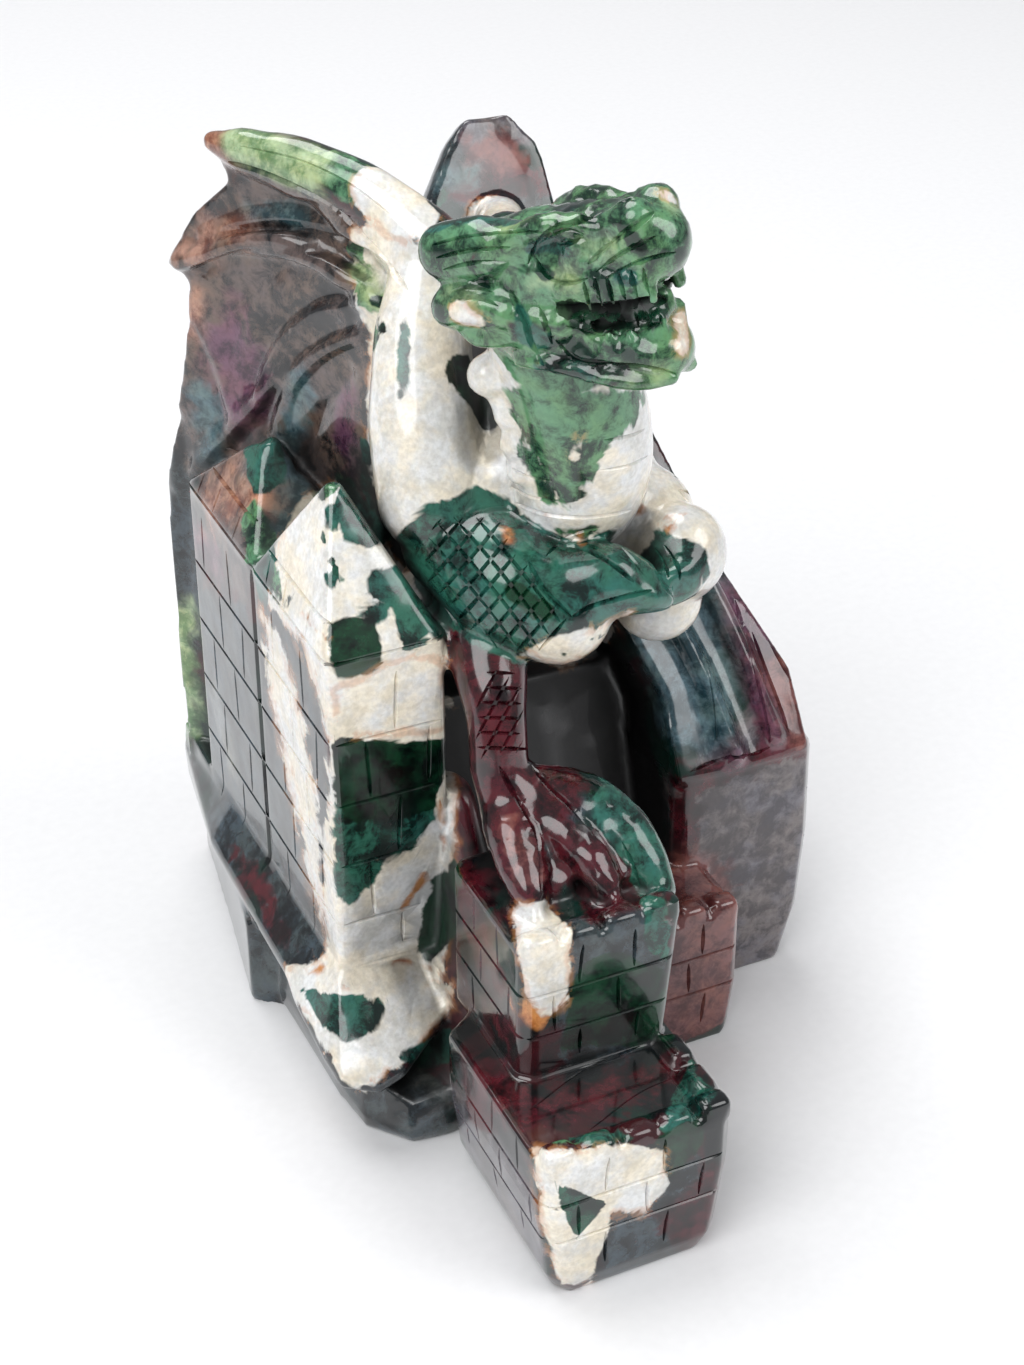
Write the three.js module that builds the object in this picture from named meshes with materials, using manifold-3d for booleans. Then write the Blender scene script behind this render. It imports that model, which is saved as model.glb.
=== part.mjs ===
// A dragon that rises behind a small brick castle, carved and polished from one block of banded jasper.
// Millimetres, +Z up. The castle's front faces -Y, and the carving stands on its underside at z = 0.
// The dragon sits on the castle with its wings swept back to +Y, and its head turned towards +X.

import * as THREE from "three";
import { mergeVertices } from "three/addons/utils/BufferGeometryUtils.js";
import Module from "manifold-3d";

const wasm = await Module();
wasm.setup();

// Castle sizes
const towerLeft = -26;
const towerWidth = 16;
const towerRight = towerLeft + towerWidth;
const towerFront = -2;
const frontTowerDepth = 27;
const backTowerDepth = 26;
const towerSeam = towerFront + frontTowerDepth;
const towerBack = towerSeam + backTowerDepth;
const eaveHeight = 70;
const frontRoofRise = 19;
const backRoofRise = 12.5;
const roofTip = 1.2;
const roofTipAcross = [0.38, 0.42];
const roofTipBack = 0.42;
const ledgeHeight = 22;
const ledgeReach = 4.6;
const ledgeFrontReach = 11;
const ledgeLip = 1.4;
const footInset = 4;

const stepLeft = -18;
const stepWidth = 26.5;
const stepRight = stepLeft + stepWidth;
const stepFront = -48;
const stepDepth = 35;
const stepHeight = 22.5;
const upperInset = 4.5;
const upperSetback = 16;
const upperDepth = 22;
const upperFront = stepFront + upperSetback;
const upperRise = 20;
const upperTop = stepHeight + upperRise;
const sideBlockWidth = 21.3;
const sideBlockDepth = 16;
const sideBlockFront = -12;
const sideBlockHeight = 21.5;

const wallLeft = 24.5;
const wallWidth = 22.6;
const wallRight = wallLeft + wallWidth;
const wallFront = -1;
const wallHeight = 38;
const castleBack = 58;

const merlonHeight = 1.8;
const merlonDepth = 3.6;
const merlonGap = 1.2;
const merlonPitch = 5.2;
const cornerCut = 1.6;

// Brick joints
const jointWidth = 0.7;
const jointDepth = 0.55;
const towerCourse = 9.5;
const blockCourse = 6.2;
const towerBrick = 11;
const blockBrick = 9.5;
const towerCourseFoot = ledgeHeight - 1.5;
const towerCourseTop = eaveHeight - 2;

// Dragon sizes. The stations of its pose are drawn at drawnHeight, and scaled to its height.
const dragonHeight = 131;
const drawnHeight = 131;
const share = dragonHeight / drawnHeight;
const wingThickness = 4.2;
const wingFingerRadius = 1.5;

// The room that is cut off below the surface that the carving stands on
const groundReach = 200;
const groundDepth = 50;

const up = new THREE.Vector3(0, 0, 1);
const vector = (p) => new THREE.Vector3(p[0], p[1], p[2]);

// A closed geometry as a solid.
function solid(geometry) {
  const bare = geometry.clone();
  bare.deleteAttribute("normal");
  bare.deleteAttribute("uv");
  const merged = mergeVertices(bare, 1e-4);
  return new wasm.Manifold(
    new wasm.Mesh({
      numProp: 3,
      vertProperties: new Float32Array(merged.attributes.position.array),
      triVerts: new Uint32Array(merged.index.array),
    }),
  );
}

const join = (solids) => solids.reduce((whole, next) => whole.add(next));

// A closed skin over rings of points. Each ring turns counter-clockwise about the way that the rings run.
function loft(rings) {
  const around = rings[0].length;
  const points = rings.flat();
  const first = points.length;
  const index = [];
  for (let r = 0; r + 1 < rings.length; r++)
    for (let i = 0; i < around; i++) {
      const a = r * around + i;
      const b = r * around + ((i + 1) % around);
      index.push(a, b, b + around, a, b + around, a + around);
    }
  const middle = (ring) =>
    ring.reduce((sum, p) => sum.add(p), new THREE.Vector3()).divideScalar(ring.length);
  const lastRing = (rings.length - 1) * around;
  for (let i = 0; i < around; i++) {
    const next = (i + 1) % around;
    index.push(first, next, i);
    index.push(first + 1, lastRing + i, lastRing + next);
  }
  points.push(middle(rings[0]), middle(rings[rings.length - 1]));
  const geometry = new THREE.BufferGeometry().setFromPoints(points);
  geometry.setIndex(index);
  return solid(geometry);
}

// A block through level rectangles [z, left, right, front, back], with its upright corners cut.
function block(levels, cut = cornerCut) {
  return loft(
    levels.map(([z, left, right, front, back]) => {
      const c = Math.min(cut, (right - left) / 3, (back - front) / 3);
      return [
        [right, front + c],
        [right, back - c],
        [right - c, back],
        [left + c, back],
        [left, back - c],
        [left, front + c],
        [left + c, front],
        [right - c, front],
      ].map(([x, y]) => new THREE.Vector3(x, y, z));
    }),
  );
}

// A limb with rounded ends. Each station is [x, y, z, half width, half height], and the height leans
// towards lean.
function limb(stations, { sides = 8, steps = 5, lean = up, round = true } = {}) {
  const curve = new THREE.CatmullRomCurve3(
    stations.map((s) => vector(s).multiplyScalar(share)),
    false,
    "centripetal",
  );
  const along = (t, k) => {
    const at = t * (stations.length - 1);
    const i = Math.min(Math.floor(at), stations.length - 2);
    const f = at - i;
    const ease = f * f * (3 - 2 * f);
    return (stations[i][k] * (1 - ease) + stations[i + 1][k] * ease) * share;
  };
  const ringAt = (t, push, size) => {
    const tangent = curve.getTangent(t);
    const high = lean.clone().addScaledVector(tangent, -lean.dot(tangent)).normalize();
    const side = high.clone().cross(tangent);
    const centre = curve.getPoint(t).addScaledVector(tangent, push);
    return Array.from({ length: sides }, (_, i) => {
      const angle = (2 * Math.PI * i) / sides;
      return centre
        .clone()
        .addScaledVector(side, Math.cos(angle) * along(t, 3) * size)
        .addScaledVector(high, Math.sin(angle) * along(t, 4) * size);
    });
  };
  const rings = [];
  const reach = (t) => 0.5 * (along(t, 3) + along(t, 4));
  if (round) {
    rings.push(ringAt(0, -0.94 * reach(0), 0.34));
    rings.push(ringAt(0, -0.6 * reach(0), 0.8));
  }
  for (let i = 0; i <= steps; i++) rings.push(ringAt(i / steps, 0, 1));
  if (round) {
    rings.push(ringAt(1, 0.6 * reach(1), 0.8));
    rings.push(ringAt(1, 0.94 * reach(1), 0.34));
  }
  return loft(rings);
}

// A rounded lump: a sphere stretched to three half sizes
function lump([x, y, z], [rx, ry, rz], sides = 10) {
  const geometry = new THREE.SphereGeometry(1, sides, Math.round(sides * 0.6));
  geometry.scale(rx * share, ry * share, rz * share);
  geometry.translate(x * share, y * share, z * share);
  return solid(geometry);
}

// Castle

function tower(front, back, rise, apexX, apexY) {
  const walls = block(
    [
      [ledgeHeight - 8, towerLeft, towerRight, front, back],
      [eaveHeight, towerLeft, towerRight, front, back],
    ],
    0.6,
  );
  const roof = block(
    [
      [eaveHeight - 0.5, towerLeft, towerRight, front, back],
      [eaveHeight + 0.8, towerLeft - 0.2, towerRight, front - 0.2, back],
      [eaveHeight + rise, apexX - roofTip, apexX + roofTip, apexY - roofTip, apexY + roofTip],
    ],
    0.9,
  );
  return walls.add(roof);
}

function towers() {
  const front = tower(
    towerFront,
    towerSeam,
    frontRoofRise,
    towerLeft + roofTipAcross[0] * towerWidth,
    towerFront + roofTipBack * frontTowerDepth,
  );
  const back = tower(
    towerSeam - 0.5,
    towerBack,
    backRoofRise,
    towerLeft + roofTipAcross[1] * towerWidth,
    towerSeam + roofTipBack * backTowerDepth,
  );
  return front.add(back);
}

// The ledge's rim, as [x, y, z] from the towers' corners, counter-clockwise from its left front
function plinth() {
  const left = towerLeft - ledgeReach;
  const front = towerFront - ledgeFrontReach;
  const back = towerBack + 14;
  const rim = [
    [left, towerFront - 3, ledgeHeight - 8.5],
    [left + 0.8, front + 2.8, ledgeHeight - 10.5],
    [towerLeft + 0.7, front, ledgeHeight - 11],
    [towerLeft + 4.3, front, ledgeHeight - 9.5],
    [towerRight - 5, front + 3.4, ledgeHeight - 6],
    [towerRight - 2.6, front + 5, ledgeHeight - 3],
    [towerRight + 2, towerFront + 1, ledgeHeight - 2],
    [towerRight + 2, back, ledgeHeight - 4],
    [towerLeft + 0.4, back, ledgeHeight - 4],
    [left + 0.6, towerSeam + 15, ledgeHeight - 4.5],
    [left, towerFront + 10, ledgeHeight - 4.5],
    [left - 0.4, towerFront + 5, ledgeHeight - 6],
  ].map((p) => vector(p));
  const clampTo = (value, low, high) => Math.min(Math.max(value, low), high);
  const shrink = (inset, drop) =>
    rim.map((p) => {
      const x = clampTo(p.x, towerLeft - inset, towerRight + inset);
      const y = clampTo(p.y, towerFront - inset, back - 1);
      return new THREE.Vector3(x, y, drop(p.z));
    });
  const ledge = loft([
    shrink(2.2, (z) => z - 5.5),
    rim.map((p) => p.clone().add(new THREE.Vector3(0, 0, -ledgeLip))),
    rim,
    shrink(0.5, () => ledgeHeight + 0.3),
  ]);
  // The foot under it, as [x, y, top]: lower in front, where it stands back under the ledge
  const footing = [
    [towerLeft - 0.2, towerFront - 7, 9],
    [towerLeft + 4.4, front - 1.5, 6],
    [towerRight - 6.3, front - 2.2, 7],
    [towerRight + 3, front, 14],
    [towerRight + 3, back - 6, 14],
    [towerLeft + 1.8, back - 3, 14],
    [towerLeft - 1.4, towerSeam + 17, 14],
    [towerLeft - footInset - 0.8, towerSeam - 2, 14],
    [towerLeft - 1.5, towerSeam - 4.7, 14],
    [towerLeft - 1.1, towerFront, 12],
  ];
  const foot = (level, inset) =>
    footing.map(([x, y, top], i) => {
      const inward = i < 3 || i > 7 ? inset : 0;
      return new THREE.Vector3(x + inward * 0.7, y + inward, top * level);
    });
  return ledge.add(loft([foot(0, 0.6), foot(0.3, 0), foot(1, 1.5)]));
}

// A box between two corners
function box(x0, x1, y0, y1, z0, z1) {
  const geometry = new THREE.BoxGeometry(x1 - x0, y1 - y0, z1 - z0);
  geometry.translate((x0 + x1) / 2, (y0 + y1) / 2, (z0 + z1) / 2);
  return solid(geometry);
}

// A row of merlons along the top edge that starts at (x, y), set in a little from the wall's face
function merlons(x, y, z, length, alongY) {
  const count = Math.max(1, Math.round(length / merlonPitch));
  const step = length / count;
  const inset = 0.3;
  return join(
    Array.from({ length: count }, (_, i) => {
      const from = i * step + merlonGap / 2;
      const to = (i + 1) * step - merlonGap / 2;
      return alongY
        ? box(x, x + merlonDepth - inset, y + from, y + to, z - 1, z + merlonHeight)
        : box(x + from, x + to, y + inset, y + merlonDepth, z - 1, z + merlonHeight);
    }),
  );
}

function steps() {
  const back = stepFront + stepDepth;
  const outline = (z, side, front) =>
    [
      [stepLeft + side, back - 6],
      [stepLeft + side, stepFront + front + 2],
      [stepLeft + side + 1.6, stepFront + front],
      [stepRight - side - 2, stepFront + front],
      [stepRight - side, stepFront + front + 2],
      [stepRight - side, back],
      [stepLeft + 9, back],
    ].map(([x, y]) => new THREE.Vector3(x, y, z));
  const lower = loft([
    outline(0, 2.6, 1),
    outline(3, 1.4, 0.1),
    outline(14, 0, 0),
    outline(stepHeight, 0, 0),
  ]);
  const upper = block(
    [
      [
        stepHeight - 2,
        stepLeft + upperInset,
        stepRight - 1.5,
        upperFront,
        upperFront + upperDepth,
      ],
      [upperTop, stepLeft + upperInset, stepRight + 0.5, upperFront, upperFront + upperDepth],
    ],
    1.4,
  );
  const side = block(
    [
      [
        0,
        stepRight - 4,
        stepRight + sideBlockWidth - 1,
        sideBlockFront,
        sideBlockFront + sideBlockDepth,
      ],
      [
        8,
        stepRight - 4,
        stepRight + sideBlockWidth,
        sideBlockFront,
        sideBlockFront + sideBlockDepth,
      ],
      [
        sideBlockHeight,
        stepRight - 4,
        stepRight + sideBlockWidth,
        sideBlockFront,
        sideBlockFront + sideBlockDepth,
      ],
    ],
    1.4,
  );
  return join([
    lower,
    upper,
    side,
    merlons(stepLeft, stepFront, stepHeight, stepWidth, false),
    merlons(
      stepRight - merlonDepth,
      stepFront + merlonDepth,
      stepHeight,
      upperSetback - merlonDepth,
      true,
    ),
    merlons(
      stepLeft + upperInset,
      upperFront,
      upperTop,
      stepWidth - upperInset + 0.5,
      false,
    ),
    merlons(stepRight + 1, sideBlockFront, sideBlockHeight, sideBlockWidth - 1, false),
  ]);
}

// The castle's right wall, the rock between the walls, and the low back wall that closes the foot.
function keep() {
  const wall = block(
    [
      [0, wallLeft, wallRight - 3, wallFront + 0.3, castleBack - 5],
      [9, wallLeft, wallRight - 0.8, wallFront, castleBack - 4],
      [22, wallLeft, wallRight, wallFront, castleBack - 4],
      [wallHeight, wallLeft, wallRight - 0.4, wallFront, castleBack - 8],
    ],
    1.6,
  );
  const core = block(
    [
      [0, towerRight - 4, wallLeft + 6, 4, castleBack + 1],
      [18, towerRight - 4, wallLeft + 6, 8, castleBack],
      [34, towerRight - 4, wallLeft + 6, 13, castleBack - 5],
      [48, towerRight - 2, wallLeft + 4, 17, castleBack - 12],
    ],
    3,
  );
  const floor = block(
    [
      [0, towerRight - 4, wallLeft + 4, -10, 12],
      [12, towerRight - 4, wallLeft + 4, -9.4, 12],
      [22.5, towerRight - 4, wallLeft + 4, -8.6, 12],
    ],
    2,
  );
  const rock = limb(
    [
      [-9, -8, 4, 6, 7],
      [-8.5, -7, 18, 5, 7],
      [-8, -4, 30, 3.6, 6],
      [-8, 2, 42, 3, 6],
    ],
    { sides: 8, steps: 3, lean: new THREE.Vector3(0, 1, 0) },
  );
  return join([wall, core, floor, rock]);
}

// Brick joints: thin boxes that cut a course line, or an upright joint between two bricks, into a wall

// Joints on a wall face. The face stands at x = face or y = face, looks towards sign, and runs from
// start to end.
function brickJoints(face, sign, alongY, start, end, bottom, top, course, brick) {
  const cuts = [];
  const rows = Math.round((top - bottom) / course);
  const height = (top - bottom) / rows;
  const near = face - sign * jointDepth;
  const far = face + sign * 1.5;
  const [low, high] = near < far ? [near, far] : [far, near];
  const half = jointWidth / 2;
  for (let row = 0; row < rows; row++) {
    const z = bottom + row * height;
    if (row > 0)
      cuts.push(
        alongY
          ? box(low, high, start - 1, end + 1, z - half, z + half)
          : box(start - 1, end + 1, low, high, z - half, z + half),
      );
    const offset = row % 2 ? 0.5 : 1;
    for (let at = start + offset * brick; at < end - 0.3 * brick; at += brick)
      cuts.push(
        alongY
          ? box(low, high, at - half, at + half, z + half + 0.4, z + height - half - 0.4)
          : box(at - half, at + half, low, high, z + half + 0.4, z + height - half - 0.4),
      );
  }
  return cuts;
}

function castleJoints() {
  const towerFace = (face, sign, alongY, start, end) =>
    brickJoints(
      face,
      sign,
      alongY,
      start,
      end,
      towerCourseFoot,
      towerCourseTop,
      towerCourse,
      towerBrick,
    );
  const seam = box(
    towerLeft - 1.5,
    towerLeft + 0.9,
    towerSeam - 0.6,
    towerSeam + 0.6,
    ledgeHeight + 2,
    eaveHeight - 2,
  );
  return join([
    ...towerFace(towerLeft, -1, true, towerFront, towerSeam),
    ...towerFace(towerLeft, -1, true, towerSeam, towerBack),
    ...towerFace(towerFront, -1, false, towerLeft, towerRight),
    seam,
    ...brickJoints(
      stepFront,
      -1,
      false,
      stepLeft,
      stepRight,
      stepHeight - 3 * blockCourse,
      stepHeight,
      blockCourse,
      blockBrick,
    ),
    ...brickJoints(
      stepLeft,
      -1,
      true,
      stepFront,
      stepFront + stepDepth,
      stepHeight - 3 * blockCourse,
      stepHeight,
      blockCourse,
      blockBrick,
    ),
    ...brickJoints(
      upperFront,
      -1,
      false,
      stepLeft + upperInset,
      stepRight,
      stepHeight,
      upperTop,
      blockCourse,
      blockBrick,
    ),
    ...brickJoints(
      sideBlockFront,
      -1,
      false,
      stepRight + 1,
      stepRight + sideBlockWidth,
      sideBlockHeight - 3 * blockCourse,
      sideBlockHeight,
      blockCourse,
      blockBrick,
    ),
  ]);
}

// Dragon

function body() {
  return join([
    limb(
      [
        [7, 10, 86, 9.5, 9],
        [6, 18, 78, 12, 11],
        [6, 25, 62, 13, 12],
      ],
      { sides: 10, steps: 3, lean: new THREE.Vector3(0, -1, 0) },
    ),
    // The smooth shoulders that run up from the chest to the roots of the wings
    limb(
      [
        [-6.5, 9, 84, 7.4, 6.8],
        [-6, 12.5, 92, 7.4, 6.5],
        [-4.4, 17, 101, 6.4, 5.4],
        [-2, 21, 109.3, 4.8, 4.4],
      ],
      { steps: 4, lean: new THREE.Vector3(0, -1, 0.3) },
    ),
    limb(
      [
        [18, 9, 80, 7, 6.5],
        [16, 14, 91, 6.4, 6],
        [13, 20, 102, 5.4, 4.8],
        [11, 25, 109.4, 4, 3.8],
      ],
      { steps: 4, lean: new THREE.Vector3(0, -1, 0.3) },
    ),
    limb(
      [
        [-6, 8, 82, 6, 6],
        [6, 9, 85, 8, 8],
        [17, 9, 81, 6, 6],
      ],
      { steps: 4 },
    ),
  ]);
}

function neck() {
  return limb(
    [
      [9, 8, 80, 10, 9],
      [10, 2, 87, 9.4, 8.8],
      [8.5, -2, 97, 8.4, 8.4],
      [5, -2.5, 107, 7.6, 8],
      [1.5, -2.5, 114, 6.8, 7.5],
    ],
    { sides: 12, steps: 6, lean: new THREE.Vector3(0.53, -0.85, 0) },
  );
}

// The head's own frame: forward along the snout, left towards the dragon's left, and high towards the crown
const headAt = new THREE.Vector3(1, -4, 118);
const headTurn = (32 * Math.PI) / 180;
const headLift = (18 * Math.PI) / 180;
const headForward = new THREE.Vector3(
  Math.sin(headTurn) * Math.cos(headLift),
  -Math.cos(headTurn) * Math.cos(headLift),
  Math.sin(headLift),
);
const headLeft = new THREE.Vector3(Math.cos(headTurn), Math.sin(headTurn), 0);
const headHigh = headLeft.clone().negate().cross(headForward).normalize();

function onHead([forward, left, high, ...sizes]) {
  const p = headAt
    .clone()
    .addScaledVector(headForward, forward)
    .addScaledVector(headLeft, left)
    .addScaledVector(headHigh, high);
  return [p.x, p.y, p.z, ...sizes];
}

const headLimb = (stations, options = {}) =>
  limb(stations.map(onHead), { lean: headHigh, ...options });

// The same stations on both sides of the head
const onBothSides = (stations, options) =>
  [1, -1].map((side) =>
    headLimb(
      stations.map(([forward, left, ...rest]) => [forward, side * left, ...rest]),
      options,
    ),
  );

function head() {
  const skull = headLimb(
    [
      [-5, 0, 0.5, 6, 6.2],
      [2, 0, 1.2, 6.8, 6.8],
      [9, 0, 2.4, 5.8, 5.9],
      [16.8, 0, 2.8, 4.8, 5.2],
    ],
    { sides: 10, steps: 5 },
  );
  const lowerJaw = headLimb(
    [
      [-2, 0, -5.5, 5.6, 4.6],
      [5, 0, -7.6, 5.4, 3.8],
      [14.6, 0, -9.8, 4.4, 3.6],
    ],
    { sides: 8, steps: 4 },
  );
  const nostrils = onBothSides(
    [
      [14, 2.4, 5.4, 2, 2],
      [17.2, 2.5, 5.8, 2.5, 2.5],
    ],
    { sides: 6, steps: 1 },
  );
  const brows = onBothSides(
    [
      [13, 3.4, 5.6, 1.2, 1.2],
      [9, 4.4, 6.2, 1.8, 1.5],
      [3, 5.2, 5.8, 2.2, 1.8],
    ],
    { sides: 6, steps: 3 },
  );
  const horns = onBothSides(
    [
      [3, 5, 5.6, 2.4, 2.4],
      [-2, 5.4, 5.6, 3.2, 3.8],
      [-7.4, 5.6, 5.6, 3, 3.8],
    ],
    { sides: 7, steps: 3 },
  );
  const ears = onBothSides(
    [
      [-1, 6, -2.2, 2.4, 2.8],
      [-5, 6.8, -1, 2.8, 3.2],
      [-8, 6.6, -1.2, 2.2, 2.8],
    ],
    { sides: 7, steps: 2 },
  );
  const cheeks = onBothSides(
    [
      [0, 4.2, -4, 3, 3.8],
      [5.5, 4.4, -4.4, 2, 2.4],
    ],
    { sides: 6, steps: 1 },
  );
  const fangs = onBothSides(
    [
      [16.2, 2, -7.2, 1.1, 1.1],
      [16.6, 2, -5.2, 0.7, 0.7],
    ],
    { sides: 5, steps: 1, lean: headForward },
  );
  // The frill of lobes that hangs from the ear down the side of the neck
  const frill = [
    [-2.6, 1.2, 103.8, 2.8],
    [-0.4, 0, 98.6, 2.1],
    [-0.2, -0.6, 94.8, 1.9],
    [0.4, -1, 91.2, 1.8],
  ].map(([x, y, z, r]) => lump([x, y, z], [r, r, r], 8));
  return join([
    skull,
    lowerJaw,
    ...nostrils,
    ...brows,
    ...horns,
    ...ears,
    ...cheeks,
    ...fangs,
    ...frill,
  ]);
}

function arms() {
  return join([
    // The right arm, across the chest to its paw
    limb(
      [
        [-4.5, 7, 78.5, 7.2, 7],
        [-1.2, -1, 76.4, 7.6, 8],
        [3.4, -6, 73.6, 6.8, 7.4],
      ],
      { sides: 12, steps: 4 },
    ),
    limb(
      [
        [3.6, -5.6, 75, 6, 6.8],
        [8.5, -8.5, 77.4, 4.6, 5.4],
        [12.4, -9.5, 76.4, 3.6, 4],
        [14.6, -9.5, 75, 2, 2],
      ],
      { sides: 10, steps: 4 },
    ),
    // The left arm, folded back on itself: upper arm, forearm, hanging elbow and paw
    lump([20.5, 4.5, 77], [7.2, 7.2, 7.4]),
    lump([22.2, -3.5, 75.8], [6, 6, 6.6]),
    lump([20, -1.5, 68.6], [6, 6, 5.8]),
    limb(
      [
        [23, -6.5, 75.4, 2.6, 3],
        [19.5, -8.4, 75.4, 2.6, 3],
        [16.8, -8.4, 74.8, 2, 2.4],
      ],
      { sides: 8, steps: 2 },
    ),
  ]);
}

function hindLeg() {
  const toe = (stations) => limb(stations, { sides: 7, steps: 3 });
  return join([
    limb(
      [
        [-3, 12, 66, 8, 8],
        [-3.6, 3, 68, 6.5, 6],
        [-4.8, -3.5, 66, 4.8, 4.6],
        [-6, -8.5, 60, 3.8, 3.8],
        [-6.4, -10.5, 54, 3.8, 3.8],
        [-5.2, -14, 50, 4, 3.6],
      ],
      { sides: 8, steps: 6, lean: new THREE.Vector3(0, -1, 0.2) },
    ),
    toe([
      [-7, -11.5, 51, 2.4, 2.6],
      [-8, -16.5, 48.6, 2.9, 2.8],
      [-8.4, -22.5, 45, 2.3, 2.2],
    ]),
    toe([
      [-4, -12.5, 51, 2.4, 2.6],
      [-0.8, -18, 49, 2.6, 2.6],
      [1, -24.5, 45.2, 2.1, 2],
    ]),
    toe([
      [-3.5, -12, 51.5, 2.4, 2.6],
      [4.4, -17, 50, 2.8, 2.8],
      [7.4, -22.5, 45.8, 2.4, 2.2],
      [8.4, -26.5, 41.5, 1.8, 1.8],
    ]),
  ]);
}

// The haunches, the ridge down the spine, and the tail that curls round the foot of the castle
function hindquarters() {
  const ridge = limb(
    [
      [6.6, 12, 103, 1.6, 2.6],
      [6.6, 27, 92, 2, 3.4],
      [6.6, 42, 72, 2.2, 4],
      [6.4, 53, 44, 2.4, 4],
      [5, 57, 28, 2, 3],
    ],
    { sides: 4, steps: 6, lean: new THREE.Vector3(0, 1, 0.4) },
  );
  const back = limb(
    [
      [6.6, 16, 88, 9, 8],
      [6, 28, 70, 12, 12.6],
      [6.4, 38, 44, 16, 15],
      [6, 44, 24, 15, 12],
    ],
    { sides: 10, steps: 4, lean: new THREE.Vector3(0, 1, 0.4) },
  );
  const tail = limb(
    [
      [5, 52, 36, 7, 6.5],
      [4, 57, 22, 5.6, 5.4],
      [12, 60, 11, 4.8, 4.8],
      [27, 59, 8, 4, 4],
      [39, 54, 9, 3, 3],
      [44.6, 45, 13, 1.8, 2],
    ],
    { sides: 7, steps: 7 },
  );
  return join([
    ridge,
    back,
    tail,
    lump([-7, 43, 40], [9, 10, 14], 8),
    lump([20, 43, 40], [9, 10, 14], 8),
  ]);
}

// Wings. Each is a sheet between its left and its right edge, as seen from the front. They are given
// row by row, from the top of the wing to its foot, with the thickness of each row. The face bows
// inwards between the edges.
function wing(rows, outward, bowDepth) {
  const columns = 5;
  const belly = vector(outward).normalize();
  const rings = [];
  for (let c = 0; c <= columns; c++) {
    const u = c / columns;
    const face = [];
    const back = [];
    for (const [left, right, thickness] of rows) {
      const at = vector(left).lerp(vector(right), u).multiplyScalar(share);
      const bow = Math.sin(Math.PI * u) * bowDepth * share;
      face.push(at.clone().addScaledVector(belly, -bow));
      back.push(at.clone().addScaledVector(belly, -bow - thickness * share));
    }
    rings.push([...face, ...back.reverse()]);
  }
  return loft(rings);
}

function rightWing() {
  const t = wingThickness;
  const f = wingFingerRadius;
  const sheet = wing(
    [
      [[-20.2, 49.6, 120.2], [-2, 20, 115], 0.7 * t],
      [[-18.6, 47.1, 114.3], [-3.5, 20, 109], 0.8 * t],
      [[-22.2, 52.5, 108.4], [-5, 19, 105], 0.8 * t],
      [[-24.8, 56.4, 101], [-6.4, 19, 101], 0.8 * t],
      [[-22.9, 53.6, 98.4], [-6.8, 19, 98], 0.8 * t],
      [[-24, 55.2, 86.6], [-8, 19, 88], 0.9 * t],
      [[-26.7, 59.2, 66.7], [-9, 22, 70], t],
      [[-27, 59.6, 38.1], [-11, 30, 42], 1.2 * t],
      [[-26, 60.5, 12], [-13, 40, 12], 1.4 * t],
    ],
    [-0.83, -0.56, 0],
    2.4,
  );
  const finger = (stations) => limb(stations, { sides: 6, steps: 4 });
  return join([
    sheet,
    // The thick leading edge
    limb(
      [
        [-1.5, 21.8, 111.6, 4.4, 5.6],
        [-6, 28.7, 115.6, 3.6, 5.2],
        [-11.4, 36.6, 118.2, 3, 4.4],
        [-16.5, 44.4, 119, 2.4, 3.2],
        [-19.6, 48.8, 119.4, 1.4, 1.6],
      ],
      { sides: 7, steps: 5 },
    ),
    finger([
      [-6.5, 25, 104, 1.5 * f, 1.4 * f],
      [-12, 35.5, 107.6, 1.2 * f, 1.1 * f],
      [-19, 47.5, 105.4, f, 0.9 * f],
      [-23.7, 54.9, 101.2, 0.8 * f, 0.8 * f],
    ]),
    finger([
      [-7, 26, 101, 1.3 * f, 1.2 * f],
      [-11, 34, 95, f, f],
      [-18, 46, 82, 0.9 * f, 0.9 * f],
      [-25.5, 57.6, 66, 0.7 * f, 0.7 * f],
    ]),
  ]);
}

function leftWing() {
  const t = wingThickness;
  const f = wingFingerRadius;
  const foot = [wallFront - 0.9, wallHeight - 0.4];
  const sheet = wing(
    [
      [[17.5, 50.2, 116.4], [22.6, 50.2, 116.4], t],
      [[15.2, 49.1, 114.6], [25.4, 47.6, 112.6], t],
      [[9.6, 45, 108.5], [25.2, 43.4, 106], 1.2 * t],
      [[8, 41, 104], [26.4, 39.4, 100], 1.4 * t],
      [[10, 32, 90], [30, 31.6, 88], 1.7 * t],
      [[14, 23, 76], [33.6, 23.8, 76.5], 2 * t],
      [[20, 14, 62], [39, 13, 60], 2.6 * t],
      [[25, 5, 48.5], [45.2, 4.6, 47.6], 4 * t],
      [[wallLeft, ...foot], [wallRight - 1.6, ...foot], 6 * t],
    ],
    [0, -0.83, 0.55],
    0.6,
  );
  const finger = (stations) => limb(stations, { sides: 6, steps: 4 });
  return join([
    sheet,
    limb(
      [
        [10, 22, 104, 4.4, 4.6],
        [14.5, 34, 110.5, 3.8, 4],
        [20, 47.5, 113.4, 2.8, 2.6],
      ],
      { sides: 7, steps: 3 },
    ),
    finger([
      [27, 13, 62, f, f],
      [31, 6.4, 51, f, 0.9 * f],
      [33.8, -0.8, 39, 0.9 * f, 0.9 * f],
    ]),
    finger([
      [31, 19, 71, f, f],
      [37, 9, 55, f, 0.9 * f],
      [40.4, -0.2, 40, 0.9 * f, 0.9 * f],
    ]),
  ]);
}

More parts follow.
